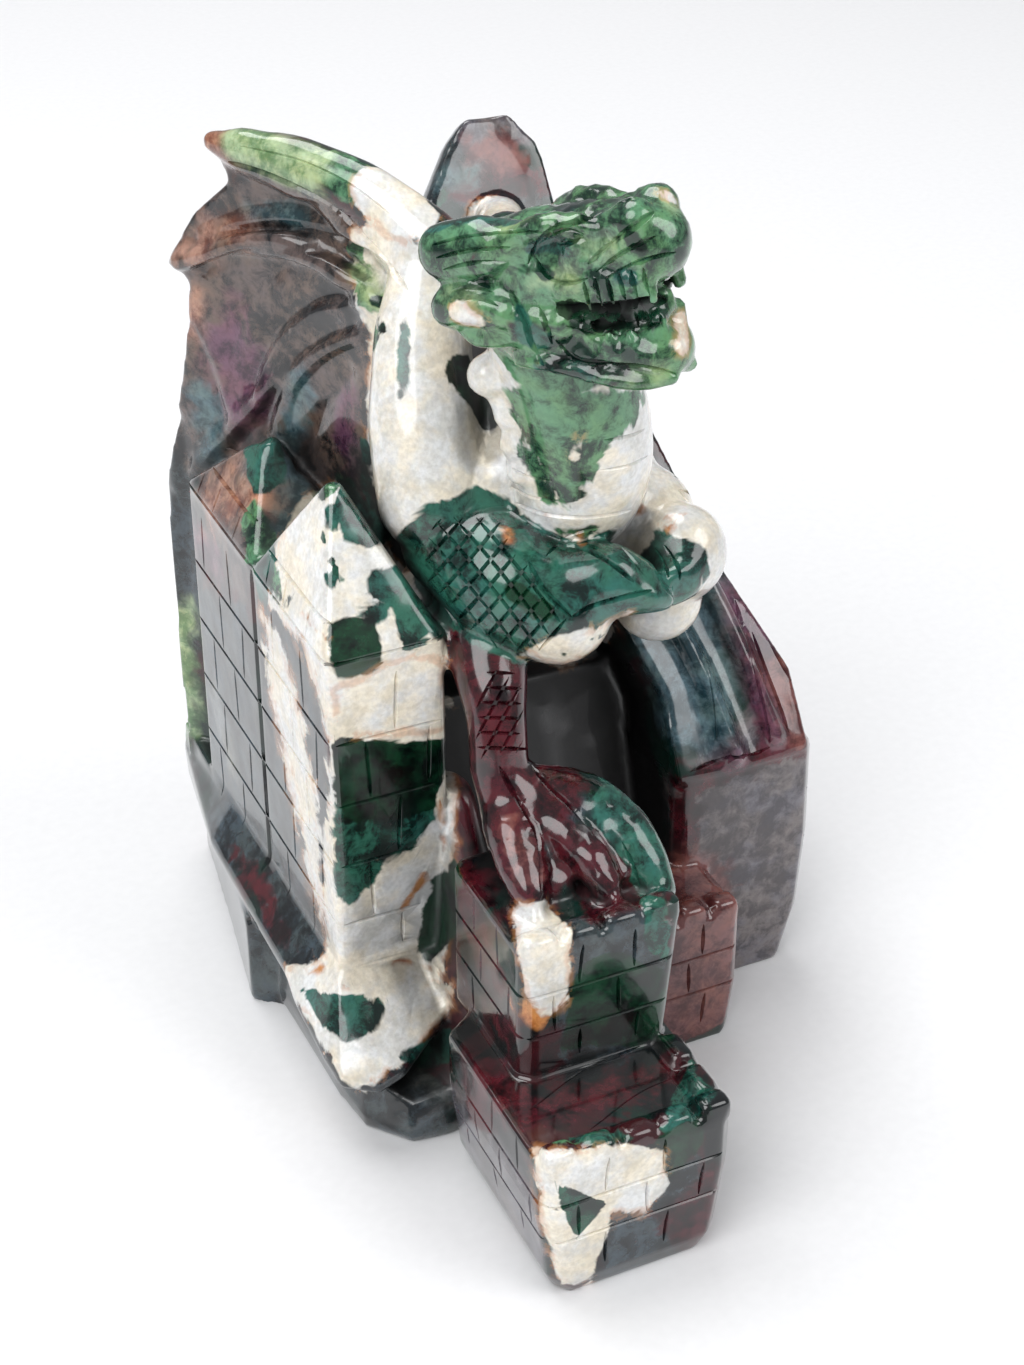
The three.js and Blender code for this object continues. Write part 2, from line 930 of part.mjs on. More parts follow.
const castle = join([plinth(), towers(), steps(), keep()]).subtract(castleJoints());
const dragon = join([
  body(),
  neck(),
  head(),
  arms(),
  hindLeg(),
  hindquarters(),
  rightWing(),
  leftWing(),
]);
const ground = box(-groundReach, groundReach, -groundReach, groundReach, -groundDepth, 0);
const carving = castle.add(dragon).subtract(ground);

// The origin is under the middle of the carving, on the surface that it stands on.
const size = carving.boundingBox();
const middleX = (size.min[0] + size.max[0]) / 2;
const middleY = (size.min[1] + size.max[1]) / 2;
const mesh = carving.getMesh();
const geometry = new THREE.BufferGeometry();
geometry.setAttribute("position", new THREE.BufferAttribute(mesh.vertProperties, 3));
geometry.setIndex(new THREE.BufferAttribute(mesh.triVerts, 1));
geometry.translate(-middleX, -middleY, 0);

const stone = new THREE.MeshStandardMaterial({
  color: new THREE.Color(0.42, 0.5, 0.45),
  roughness: 0.18,
  metalness: 0,
});
const dragonCarving = new THREE.Mesh(geometry, stone);
dragonCarving.name = "jasper_dragon_carving";

const part = new THREE.Group();
part.add(dragonCarving);

export default part;
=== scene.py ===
import bmesh
import bpy
import math
import numpy as np
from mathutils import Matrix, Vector, noise
from mathutils.bvhtree import BVHTree


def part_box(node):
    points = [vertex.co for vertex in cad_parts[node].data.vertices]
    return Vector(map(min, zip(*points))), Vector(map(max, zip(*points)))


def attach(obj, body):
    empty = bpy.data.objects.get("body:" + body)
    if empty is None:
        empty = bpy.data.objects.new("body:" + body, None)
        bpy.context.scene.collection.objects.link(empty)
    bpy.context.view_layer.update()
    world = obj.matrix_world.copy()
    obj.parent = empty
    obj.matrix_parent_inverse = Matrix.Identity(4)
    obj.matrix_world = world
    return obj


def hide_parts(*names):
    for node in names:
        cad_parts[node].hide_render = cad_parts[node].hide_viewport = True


# A dragon behind a small brick castle, carved and polished from one block of jasper.
# The forms are written in millimetres from the castle's own corner, as in the part's source,
# and are moved onto the frame at the end.

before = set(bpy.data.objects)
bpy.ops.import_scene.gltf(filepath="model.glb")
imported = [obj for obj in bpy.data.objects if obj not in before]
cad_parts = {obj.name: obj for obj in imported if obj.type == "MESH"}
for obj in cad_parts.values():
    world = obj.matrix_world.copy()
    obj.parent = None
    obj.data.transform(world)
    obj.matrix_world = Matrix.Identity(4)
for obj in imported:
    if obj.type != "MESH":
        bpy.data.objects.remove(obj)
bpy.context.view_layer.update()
print("frame loaded")

node = "jasper_dragon_carving"
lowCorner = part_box(node)[0]
castleLow = np.array([-31.0, -48.0, 0.0])  # the frame's lowest corner, in the castle's millimetres
shift = np.array(lowCorner) * 1000 - castleLow
up = np.array([0.0, 0.0, 1.0])
front = np.array([0.0, -1.0, 0.0])


def unit(v):
    v = np.asarray(v, float)
    return v / max(np.linalg.norm(v), 1e-9)


# Where the camera stands, in the castle's millimetres. The photograph is 1024 x 1365 pixels.

view = {
    "at": np.array([-113.4, -243.2, 234.3]),
    "target": np.array([0.0, 0.0, 60.0]),
    "pixelsPerMm": 7.7,       # at the carving, near enough
    "focal": 2480.0,  # in the photograph's pixels
    "width": 1024.0,
    "height": 1365.0,
}
viewForward = unit(view["target"] - view["at"])
viewRight = unit(np.cross(viewForward, up))
viewUp = np.cross(viewRight, viewForward)


# A ray through a place in the picture
def photoRay(px, py):
    across = (px - view["width"] / 2) / view["focal"]
    rise = (view["height"] / 2 - py) / view["focal"]
    return view["at"], unit(viewForward + viewRight * across + viewUp * rise)


# A ray straight onto one side. The first number runs along rightward, the second along upward.
def sideRay(looking, rightward, upward=up, reach=160.0):
    looking, rightward, upward = unit(looking), unit(rightward), unit(upward)

    def ray(a, b):
        return rightward * a + upward * b - looking * reach, looking

    return ray


fromLeft = sideRay((1, 0, 0), (0, 1, 0))  # numbers are y and z
fromRight = sideRay((-1, 0, 0), (0, 1, 0))  # y and z
fromFront = sideRay((0, 1, 0), (1, 0, 0))  # x and z
fromBack = sideRay((0, -1, 0), (1, 0, 0))  # x and z
fromAbove = sideRay((0, 0, -1), (1, 0, 0), (0, 1, 0))  # x and y


# Forms. Each one is a closed skin, and they are all melted together afterwards.

class Clay:
    def __init__(self):
        self.points = []
        self.faces = []
        self.count = 0

    def add(self, points, faces):
        self.points.append(np.asarray(points, float))
        self.faces.extend([[i + self.count for i in face] for face in faces])
        self.count += len(points)

    # A closed skin over rings that turn counter-clockwise about the way they run.
    # A ladder end closes a long bent ring, which goes out along one side and back along the other.
    def loft(self, rings, ladderEnds=False):
        around = len(rings[0])
        points = [p for ring in rings for p in ring]
        faces = []
        for r in range(len(rings) - 1):
            for i in range(around):
                a = r * around + i
                b = r * around + (i + 1) % around
                faces.append([a, b, b + around, a + around])
        last = (len(rings) - 1) * around
        if ladderEnds:
            for i in range(around // 2 - 1):
                rung = [i, i + 1, around - 2 - i, around - 1 - i]
                faces.append(rung[::-1])
                faces.append([last + k for k in rung])
            self.add(points, faces)
            return
        first = len(points)
        points.append(np.mean(rings[0], axis=0))
        points.append(np.mean(rings[-1], axis=0))
        for i in range(around):
            after = (i + 1) % around
            faces.append([first, after, i])
            faces.append([first + 1, last + i, last + after])
        self.add(points, faces)

    def mesh(self, name):
        data = bpy.data.meshes.new(name)
        data.from_pydata(np.vstack(self.points).tolist(), [], self.faces)
        data.validate()
        data.update()
        return data


clay = Clay()


# a point of a smooth curve through the points
def curveAt(points, t):
    n = len(points)
    place = (n - 1) * min(max(t, 0.0), 1.0)
    i = min(int(place), n - 2)
    w = place - i
    p1, p2 = points[i], points[i + 1]
    p0 = points[i - 1] if i > 0 else 2 * p1 - p2
    p3 = points[i + 2] if i + 2 < n else 2 * p2 - p1
    d0 = max(np.linalg.norm(p1 - p0), 1e-6) ** 0.5
    d1 = max(np.linalg.norm(p2 - p1), 1e-6) ** 0.5
    d2 = max(np.linalg.norm(p3 - p2), 1e-6) ** 0.5
    t1 = ((p1 - p0) / d0 - (p2 - p0) / (d0 + d1) + (p2 - p1) / d1) * d1
    t2 = ((p2 - p1) / d1 - (p3 - p1) / (d1 + d2) + (p3 - p2) / d2) * d1
    c2 = -3 * p1 + 3 * p2 - 2 * t1 - t2
    c3 = 2 * p1 - 2 * p2 + t1 + t2
    return p1 + t1 * w + c2 * w * w + c3 * w ** 3


# A limb through stations [x, y, z, half width, half height]. Its height leans towards lean.
def limb(stations, lean=up, sides=24, fine=5):
    stations = np.asarray(stations, float)
    points = stations[:, :3]
    lean = unit(lean)
    spans = len(stations) - 1

    def size(t, k):
        place = t * spans
        i = min(int(place), spans - 1)
        f = place - i
        ease = f * f * (3 - 2 * f)
        return stations[i, k] * (1 - ease) + stations[i + 1, k] * ease

    def ring(t, push, scale):
        ahead = curveAt(points, min(t + 1e-3, 1.0))
        behind = curveAt(points, max(t - 1e-3, 0.0))
        tangent = unit(ahead - behind)
        high = unit(lean - tangent * lean.dot(tangent))
        side = np.cross(high, tangent)
        centre = curveAt(points, t) + tangent * push
        angles = 2 * math.pi * np.arange(sides) / sides
        wide, tall = size(t, 3) * scale, size(t, 4) * scale
        return [centre + side * math.cos(a) * wide + high * math.sin(a) * tall for a in angles]

    rings = []
    caps = (80, 60, 40, 20)   # degrees round each end
    for a in caps:
        r = 0.5 * (size(0, 3) + size(0, 4))
        rings.append(ring(0.0, -math.sin(math.radians(a)) * r, math.cos(math.radians(a))))
    steps = max(2, int(spans * fine))
    rings += [ring(i / steps, 0.0, 1.0) for i in range(steps + 1)]
    for a in reversed(caps):
        r = 0.5 * (size(1, 3) + size(1, 4))
        rings.append(ring(1.0, math.sin(math.radians(a)) * r, math.cos(math.radians(a))))
    clay.loft(rings)


def lump(centre, sizes):
    x, y, z = centre
    rings = []
    for a in range(-80, 81, 16):
        c, s = math.cos(math.radians(a)), math.sin(math.radians(a))
        rings.append([
            np.array([x + sizes[0] * c * math.cos(b), y + sizes[1] * c * math.sin(b), z + sizes[2] * s])
            for b in 2 * math.pi * np.arange(20) / 20
        ])
    clay.loft(rings)


# A block through level rectangles [z, left, right, front, back], with its upright corners cut
def block(levels, cut=1.2):
    rings = []
    for z, left, right, near, far in levels:
        c = min(cut, (right - left) / 3, (far - near) / 3)
        outline = [(right, near + c), (right, far - c), (right - c, far), (left + c, far),
                   (left, far - c), (left, near + c), (left + c, near), (right - c, near)]
        rings.append([np.array([x, y, z]) for x, y in outline])
    clay.loft(rings)


# Castle

castle = {
    "towerLeft": -26.0, "towerRight": -10.0,
    "towerFront": -2.0, "towerSeam": 25.0, "towerBack": 51.0,
    "eaves": 70.0, "roofRise": (19.0, 12.5), "roofTip": 1.0,
    "ledge": 22.0, "ledgeReach": 4.6, "ledgeFront": 11.0, "ledgeLip": 1.4,
    "stepLeft": -18.0, "stepRight": 8.5, "stepFront": -48.0, "stepDepth": 35.0, "stepHeight": 22.5,
    "upperFront": -32.0, "upperTop": 42.5,
    "sideRight": 29.8, "sideFront": -12.0, "sideHeight": 21.5,
    "wallLeft": 24.5, "wallRight": 47.1, "wallFront": -1.0, "wallHeight": 38.0,
    "back": 58.0,
    "merlonPitch": 5.2, "merlonGap": 1.0, "merlonRise": 1.8, "merlonDepth": 3.6,
}


def buildTowers():
    c = castle
    left, right = c["towerLeft"], c["towerRight"]
    tops = [
        (c["towerFront"], c["towerSeam"], c["roofRise"][0], 0.38),
        (c["towerSeam"] - 0.5, c["towerBack"], c["roofRise"][1], 0.42),
    ]
    for near, far, rise, across in tops:
        apexX = left + across * (right - left)
        apexY = near + 0.42 * (far - near)
        tip = c["roofTip"]
        block([[c["ledge"] - 8, left, right, near, far], [c["eaves"], left, right, near, far]], 0.6)
        block([
            [c["eaves"] - 0.5, left, right, near, far],
            [c["eaves"] + 0.8, left - 0.2, right, near - 0.2, far],
            [c["eaves"] + rise, apexX - tip, apexX + tip, apexY - tip, apexY + tip],
        ], 0.9)


def buildLedge():
    c = castle
    tl, tr, tf, seam = c["towerLeft"], c["towerRight"], c["towerFront"], c["towerSeam"]
    left, near, far = tl - c["ledgeReach"], tf - c["ledgeFront"], c["towerBack"] + 14
    top = c["ledge"]
    rim = np.array([
        [left, tf - 3, top - 8.5], [left + 0.8, near + 2.8, top - 10.5], [tl + 0.7, near, top - 11],
        [tl + 4.3, near, top - 9.5], [tr - 5, near + 3.4, top - 6], [tr - 2.6, near + 5, top - 3],
        [tr + 2, tf + 1, top - 2], [tr + 2, far, top - 4], [tl + 0.4, far, top - 4],
        [left + 0.6, seam + 15, top - 4.5], [left, tf + 10, top - 4.5], [left - 0.4, tf + 5, top - 6],
    ])

    def shrink(inset, heights):
        ring = rim.copy()
        ring[:, 0] = np.clip(ring[:, 0], tl - inset, tr + inset)
        ring[:, 1] = np.clip(ring[:, 1], tf - inset, far - 1)
        ring[:, 2] = heights
        return list(ring)

    clay.loft([
        shrink(2.2, rim[:, 2] - 5.5),
        list(rim - np.array([0, 0, c["ledgeLip"]])),
        list(rim),
        shrink(0.5, np.full(len(rim), top + 0.3)),
    ])
    footing = [
        [tl - 0.2, tf - 7, 9], [tl + 4.4, near - 1.5, 6], [tr - 6.3, near - 2.2, 7],
        [tr + 3, near, 14], [tr + 3, far - 6, 14], [tl + 1.8, far - 3, 14], [tl - 1.4, seam + 17, 14],
        [tl - 4.8, seam - 2, 14], [tl - 1.5, seam - 4.7, 14], [tl - 1.1, tf, 12],
    ]

    def foot(level, inset):
        ring = []
        for i, (x, y, h) in enumerate(footing):
            inward = inset if i < 3 or i > 7 else 0
            ring.append(np.array([x + inward * 0.7, y + inward, h * level]))
        return ring

    clay.loft([foot(0, 0.6), foot(0.3, 0), foot(1, 1.5)])


# a row of worn merlons along x, or along y
def merlons(x, y, z, length, alongY=False):
    c = castle
    count = max(1, round(length / c["merlonPitch"]))
    step = length / count
    for i in range(count):
        start = i * step + c["merlonGap"] / 2
        end = (i + 1) * step - c["merlonGap"] / 2
        top = z + c["merlonRise"] * (1 + 0.18 * math.sin(5.1 * i + x))
        if alongY:
            near, far, left, right = y + start, y + end, x, x + c["merlonDepth"] - 0.3
        else:
            near, far, left, right = y + 0.3, y + c["merlonDepth"], x + start, x + end
        block([[z - 1, left, right, near, far], [top - 0.5, left, right, near, far],
               [top, left + 0.5, right - 0.5, near + 0.5, far - 0.5]], 0.5)


def buildSteps():
    c = castle
    left, right, near = c["stepLeft"], c["stepRight"], c["stepFront"]
    back = near + c["stepDepth"]

    def outline(z, side, setBack):
        ring = [
            (left + side, back - 6), (left + side, near + setBack + 2),
            (left + side + 1.6, near + setBack),
            (right - side - 2, near + setBack), (right - side, near + setBack + 2), (right - side, back),
            (left + 9, back),
        ]
        return [np.array([x, y, z]) for x, y in ring]

    clay.loft([outline(0, 2.6, 1), outline(3, 1.4, 0.1), outline(14, 0, 0),
               outline(c["stepHeight"], 0, 0)])
    uf, ut = c["upperFront"], c["upperTop"]
    block([[c["stepHeight"] - 2, left + 4.5, right - 1.5, uf, uf + 22],
           [ut, left + 4.5, right + 0.5, uf, uf + 22]], 1.4)
    sf, sr, sh = c["sideFront"], c["sideRight"], c["sideHeight"]
    block([[0, right - 4, sr - 1, sf, sf + 16], [8, right - 4, sr, sf, sf + 16],
           [sh, right - 4, sr, sf, sf + 16]], 1.4)
    merlons(left, near, c["stepHeight"], right - left)
    merlons(right - 3.6, near + 3.6, c["stepHeight"], 12.4, True)
    merlons(left + 4.5, uf, ut, right - left - 4)
    merlons(right + 1, sf, sh, sr - right - 1)


def buildKeep():
    c = castle
    wl, wr, wf, wh, back = c["wallLeft"], c["wallRight"], c["wallFront"], c["wallHeight"], c["back"]
    tr = c["towerRight"]
    block([[0, wl, wr - 3, wf + 0.3, back - 5], [9, wl, wr - 0.8, wf, back - 4],
           [22, wl, wr, wf, back - 4], [wh, wl, wr - 0.4, wf, back - 8]], 1.6)
    block([[0, tr - 4, wl + 6, 4, back + 1], [18, tr - 4, wl + 6, 8, back],
           [34, tr - 4, wl + 6, 13, back - 5], [48, tr - 2, wl + 4, 17, back - 12]], 3)
    block([[0, tr - 4, wl + 4, -10, 12], [12, tr - 4, wl + 4, -9.4, 12],
           [22.5, tr - 4, wl + 4, -8.6, 12]], 2)
    limb([[-9, -8, 4, 6, 7], [-8.5, -7, 18, 5, 7], [-8, -4, 30, 3.6, 6], [-8, 2, 42, 3, 6]],
         lean=(0, 1, 0))


buildTowers()
buildLedge()
buildSteps()
buildKeep()
print("castle formed")


# Dragon

torso = {
    "chest": [[7, 10, 86, 9.5, 9], [6, 18, 78, 12, 11], [6, 25, 62, 13, 12]],
    "rightShoulder": [[-6.5, 9, 84, 7.4, 6.8], [-6, 12.5, 92, 7.4, 6.5], [-4.4, 17, 101, 6.4, 5.4],
                      [-2, 21, 109.3, 4.8, 4.4]],
    "leftShoulder": [[18, 9, 80, 7, 6.5], [16, 14, 91, 6.4, 6], [13, 20, 102, 5.4, 4.8],
                     [11, 25, 109.4, 4, 3.8]],
    "collar": [[-6, 8, 82, 6, 6], [6, 9, 85, 8, 8], [17, 9, 81, 6, 6]],
    "neck": [[9, 8, 80, 10, 9], [10, 2, 87, 9.4, 8.8], [8.5, -2, 97, 8.4, 8.4], [5, -2.5, 107, 7.6, 8],
             [1.5, -2.5, 114, 6.8, 7.5]],
    "back": [[6.6, 16, 88, 9, 8], [6, 28, 70, 12, 12.6], [6.4, 38, 44, 16, 15], [6, 44, 24, 15, 12]],
    "tail": [[5, 52, 36, 7, 6.5], [4, 57, 22, 5.6, 5.4], [12, 60, 11, 4.8, 4.8], [27, 59, 8, 4, 4],
             [39, 54, 9, 3, 3], [44.6, 45, 13, 1.8, 2]],
    "spine": [[6.6, 12, 103, 1.6, 2.6], [6.6, 27, 92, 2, 3.4], [6.6, 42, 72, 2.2, 4],
              [6.4, 53, 44, 2.4, 4], [5, 57, 28, 2, 3]],
}


def buildTorso():
    t = torso
    limb(t["chest"], lean=front)
    limb(t["rightShoulder"], lean=(0, -1, 0.3))
    limb(t["leftShoulder"], lean=(0, -1, 0.3))
    limb(t["collar"])
    limb(t["neck"], lean=(0.53, -0.85, 0), sides=32)
    limb(t["back"], lean=(0, 1, 0.4), sides=32)
    limb(t["tail"])
    limb(t["spine"], lean=(0, 1, 0.4), sides=12)
    lump((-7, 43, 40), (9, 10, 14))
    lump((20, 43, 40), (9, 10, 14))
    points = np.array(t["spine"], float)[:, :3]
    for i in range(15):  # the crest's plates
        p = curveAt(points, 0.04 + i / 16)
        size = 2.7 - 0.05 * i
        limb([[*(p + np.array([0, -1.5, -0.6])), 1.5, size], [*(p + np.array([0, 1.6, 1.7])), 0.7, 0.9]],
             lean=(0, -0.6, 0.8), sides=12)


# The head's own frame: forward along the snout, left towards the dragon's left, high to the crown

head = {"at": np.array([1.0, -4.0, 118.0]), "turn": math.radians(32), "lift": math.radians(18)}
headForward = np.array([
    math.sin(head["turn"]) * math.cos(head["lift"]),
    -math.cos(head["turn"]) * math.cos(head["lift"]),
    math.sin(head["lift"]),
])
headLeft = np.array([math.cos(head["turn"]), math.sin(head["turn"]), 0.0])
headHigh = unit(np.cross(-headLeft, headForward))


def onHead(forward, left, high):
    return head["at"] + headForward * forward + headLeft * left + headHigh * high


def headLimb(stations, lean=None, sides=20, fine=4):
    placed = [[*onHead(*s[:3]), *s[3:]] for s in stations]
    limb(placed, lean=headHigh if lean is None else lean, sides=sides, fine=fine)


def bothSides(stations, **options):
    for side in (1, -1):
        headLimb([[s[0], side * s[1], *s[2:]] for s in stations], **options)


def buildHead():
    headLimb([[-5, 0, 0.5, 6, 6.2], [2, 0, 1.2, 6.6, 6.6], [9, 0, 2.4, 5.4, 5.5],
              [16.8, 0, 2.8, 4.7, 4.8]],
             sides=32, fine=6)
    headLimb([[-2, 0, -5.5, 5.6, 4.6], [5, 0, -7.6, 5.2, 3.6], [14.6, 0, -9.8, 4.4, 3.5]], sides=28,
             fine=6)
    bothSides([[13.6, 2.4, 5.6, 1.9, 1.9], [17.2, 2.5, 5.9, 2.5, 2.6]])  # nostrils
    bothSides([[14, 3.3, 5.2, 1.0, 1.0], [10, 4.5, 6.9, 1.5, 1.2], [5.5, 5.3, 6.9, 1.9, 1.4],
               [2, 5.6, 5.6, 1.9, 1.6]])  # brows
    headLimb([[3, -5, 5.6, 2.4, 2.4], [-2, -5.4, 5.4, 3.2, 3.8], [-7.4, -5.6, 5.4, 3, 3.6]])  # near horn
    headLimb([[3, 5, 3.6, 2.4, 2.4], [-2, 5.4, 2.4, 3, 3.4], [-7.4, 5.4, 2.2, 3, 3.4]])  # far horn
    bothSides([[0, 6, -2.2, 2.2, 2.4], [-4, 7, -0.6, 2.5, 2.6], [-8, 6.8, -0.9, 2.2, 2.6]])  # ears
    bothSides([[-1.5, 6.4, -4.6, 1.3, 1.6], [-4.6, 7, -4.6, 1.2, 1.3], [-6.4, 7, -3.6, 0.9, 0.9]])
    bothSides([[0, 4.2, -4, 3, 3.8], [5.5, 4.4, -4.4, 2, 2.4]])  # cheeks
    bothSides([[9.9, 4.5, 4.2, 1.45, 1.35], [10.9, 4.5, 4.1, 1.3, 1.2]], sides=16)  # eyes
    bothSides([[8.4, 5.0, 3.0, 0.6, 0.6], [10.4, 5.2, 2.4, 0.6, 0.6], [12.6, 4.6, 3.2, 0.5, 0.5]],
              sides=12)
    bothSides([[6.4, 5.2, -0.6, 0.8, 1.0], [10.4, 4.9, 0.6, 0.9, 1.1], [14.4, 4.3, 0.4, 0.8, 1.0],
               [17.4, 3.4, -0.3, 0.7, 0.9]], sides=14)  # upper lip
    for side in (1, -1):
        for forward, left, drop, r in ((7.2, 4.5, 2.6, 1.15), (9.6, 4.3, 3.3, 1.25),
                                       (12.1, 4.1, 3.6, 1.3),
                                       (14.6, 3.7, 2.9, 1.25), (17, 3.0, 2.6, 1.1)):
            headLimb([[forward, side * left, -0.4, r, r],
                      [forward + 0.3, side * left, -0.4 - drop, 0.8 * r, 0.8 * r]],
                     lean=headForward, sides=14, fine=3)  # upper teeth
        for forward, left, high in ((8.6, 4.1, -5.6), (11.2, 3.9, -6.4), (13.6, 3.6, -7.0)):
            headLimb([[forward, side * left, high - 0.8, 0.9, 0.9],
                      [forward, side * left, high + 0.4, 0.6, 0.6]],
                     lean=headForward, sides=12, fine=2)  # lower teeth
        headLimb([[16.3, side * 2.1, -7.8, 1.2, 1.2], [16.9, side * 2.1, -5.6, 0.9, 0.9]],
                 lean=headForward, sides=14, fine=3)
    headLimb([[4, 0, -2.6, 3.2, 2.4], [8, 0, -3.6, 2.8, 2.2], [15.6, 0, -4.4, 2.0, 2.4]],
             sides=16)  # tongue
    bothSides([[-1, 4.9, -8.2, 1.3, 1.1], [5, 4.9, -9.6, 1.4, 1.1], [13, 3.9, -12.2, 1.4, 1.1],
               [16.4, 2.0, -12.6, 1.2, 1.0]], sides=14)  # the edge under the jaw
    for x, y, z, r in ((-2.6, 1.2, 103.8, 2.8), (-1.4, 0.6, 100.6, 1.5), (-0.4, 0, 98.6, 2.1),
                       (-0.2, -0.6, 94.8, 1.9), (0.4, -1, 91.2, 1.8)):  # the frill of lobes
        lump((x, y, z), (r, r, r))
    for x, y, z, r in ((14, 4, 104, 2.2), (15.5, 4, 99, 2), (16.8, 4, 94.5, 1.8)):
        lump((x, y, z), (r, r, r))


def buildArms():
    limb([[-4.5, 7, 78.5, 7.2, 7], [-1.2, -1, 76.4, 7.6, 8], [3.4, -6, 73.6, 6.8, 7.4]], sides=32)
    limb([[3.6, -5.6, 75, 6, 6.8], [8.5, -8.5, 77.4, 4.6, 5.4], [12.4, -9.5, 76.4, 3.6, 4],
          [14.6, -9.5, 75, 2, 2]], sides=28)
    for dy, dz, r in ((0.4, 2.2, 1.7), (-1.9, 0.2, 1.7), (-0.8, -2.0, 1.5)):  # curled fingers
        limb([[9.5, -9.3 + dy, 77.2 + dz, r * 1.15, r * 1.15], [13.2, -10.3 + dy, 76.3 + dz * 0.8, r, r],
              [15.4, -10.2 + dy, 75.0 + dz * 0.5, 0.8 * r, 0.8 * r]], sides=16)
    lump((20.5, 4.5, 77), (7.2, 7.2, 7.4))
    lump((22.2, -3.5, 75.8), (6, 6, 6.6))
    lump((20, -1.5, 68.6), (6, 6, 5.8))
    limb([[23, -6.5, 75.4, 2.6, 3], [19.5, -8.4, 75.4, 2.6, 3], [16.8, -8.4, 74.8, 2, 2.4]])
    for dz, r in ((1.8, 1.2), (-0.1, 1.3), (-1.9, 1.1)):
        limb([[21, -8.8, 75.4 + dz, r, r], [18, -9.7, 75.2 + dz, r, r],
              [15.9, -9.4, 74.8 + dz * 0.8, 0.8 * r, r]],
             sides=14)


def buildHindLeg():
    lean = (0, -1, 0.2)
    limb([[-3, 12, 66, 8, 8], [-3.6, 3, 68, 6.5, 6], [-4.8, -3.5, 66, 4.8, 4.6],
          [-6, -8.5, 60, 3.8, 3.8],
          [-6.4, -10.5, 54, 3.8, 3.8], [-5.2, -14, 50, 4, 3.6]], lean=lean)
    limb([[-6.6, -11, 51.4, 3.2, 3.2], [-7.4, -16, 49.2, 3.7, 3.4], [-8, -20, 46.6, 3.2, 3],
          [-8.2, -23, 44.6, 2.5, 2.3]])
    limb([[-4, -12, 51.4, 2.8, 3], [-1.8, -17.4, 49.4, 3.0, 3], [0.4, -22, 46.6, 2.7, 2.7],
          [1.2, -25, 44.6, 2.2, 2.1]])
    limb([[-3, -11.6, 52, 3, 3.2], [3, -15.6, 50.6, 3.8, 3.4], [6.2, -20, 48, 3.6, 3.3],
          [7.6, -23.6, 45, 3, 2.8], [8.2, -26.2, 42, 2.3, 2.2]])
    limb([[-5, -12, 49, 3, 2.6], [-4.6, -17, 46.8, 2.8, 2.4], [-4, -21.5, 43.8, 2.6, 2]])  # webs
    limb([[-2, -13, 49.4, 3, 2.6], [1.6, -17.5, 47.8, 3, 2.6], [4.4, -23, 44, 2.8, 2.2]])
    for x, y, z in ((-8.6, -24.6, 43.6), (1.4, -26.6, 43.8), (8.7, -27.6, 40)):  # claws
        limb([[x, y + 1.6, z + 0.8, 1.4, 1.3], [x + 0.1, y - 1.2, z - 0.6, 0.9, 0.8]], sides=12)


# Wings: a sheet between the left and the right edge as seen from the front, row by row from the top

def wing(rows, outward, bow):
    outward = unit(outward)
    columns, between = 14, 3
    lefts = [np.array(r[0], float) for r in rows]
    rights = [np.array(r[1], float) for r in rows]
    thick = [r[2] for r in rows]
    steps = (len(rows) - 1) * between
    fine = []
    for s in range(steps + 1):
        i = min(s // between, len(rows) - 2)
        f = s / between - i
        fine.append((lefts[i] * (1 - f) + lefts[i + 1] * f, rights[i] * (1 - f) + rights[i + 1] * f,
                     thick[i] * (1 - f) + thick[i + 1] * f))
    rings = []
    for c in range(columns + 1):
        u = c / columns
        dip = outward * math.sin(math.pi * u) * bow
        face = [a + (b - a) * u - dip for a, b, t in fine]
        rear = [a + (b - a) * u - dip - outward * t for a, b, t in fine]
        rings.append(face + rear[::-1])
    clay.loft(rings, ladderEnds=True)


wings = {"thickness": 4.2, "finger": 1.5}


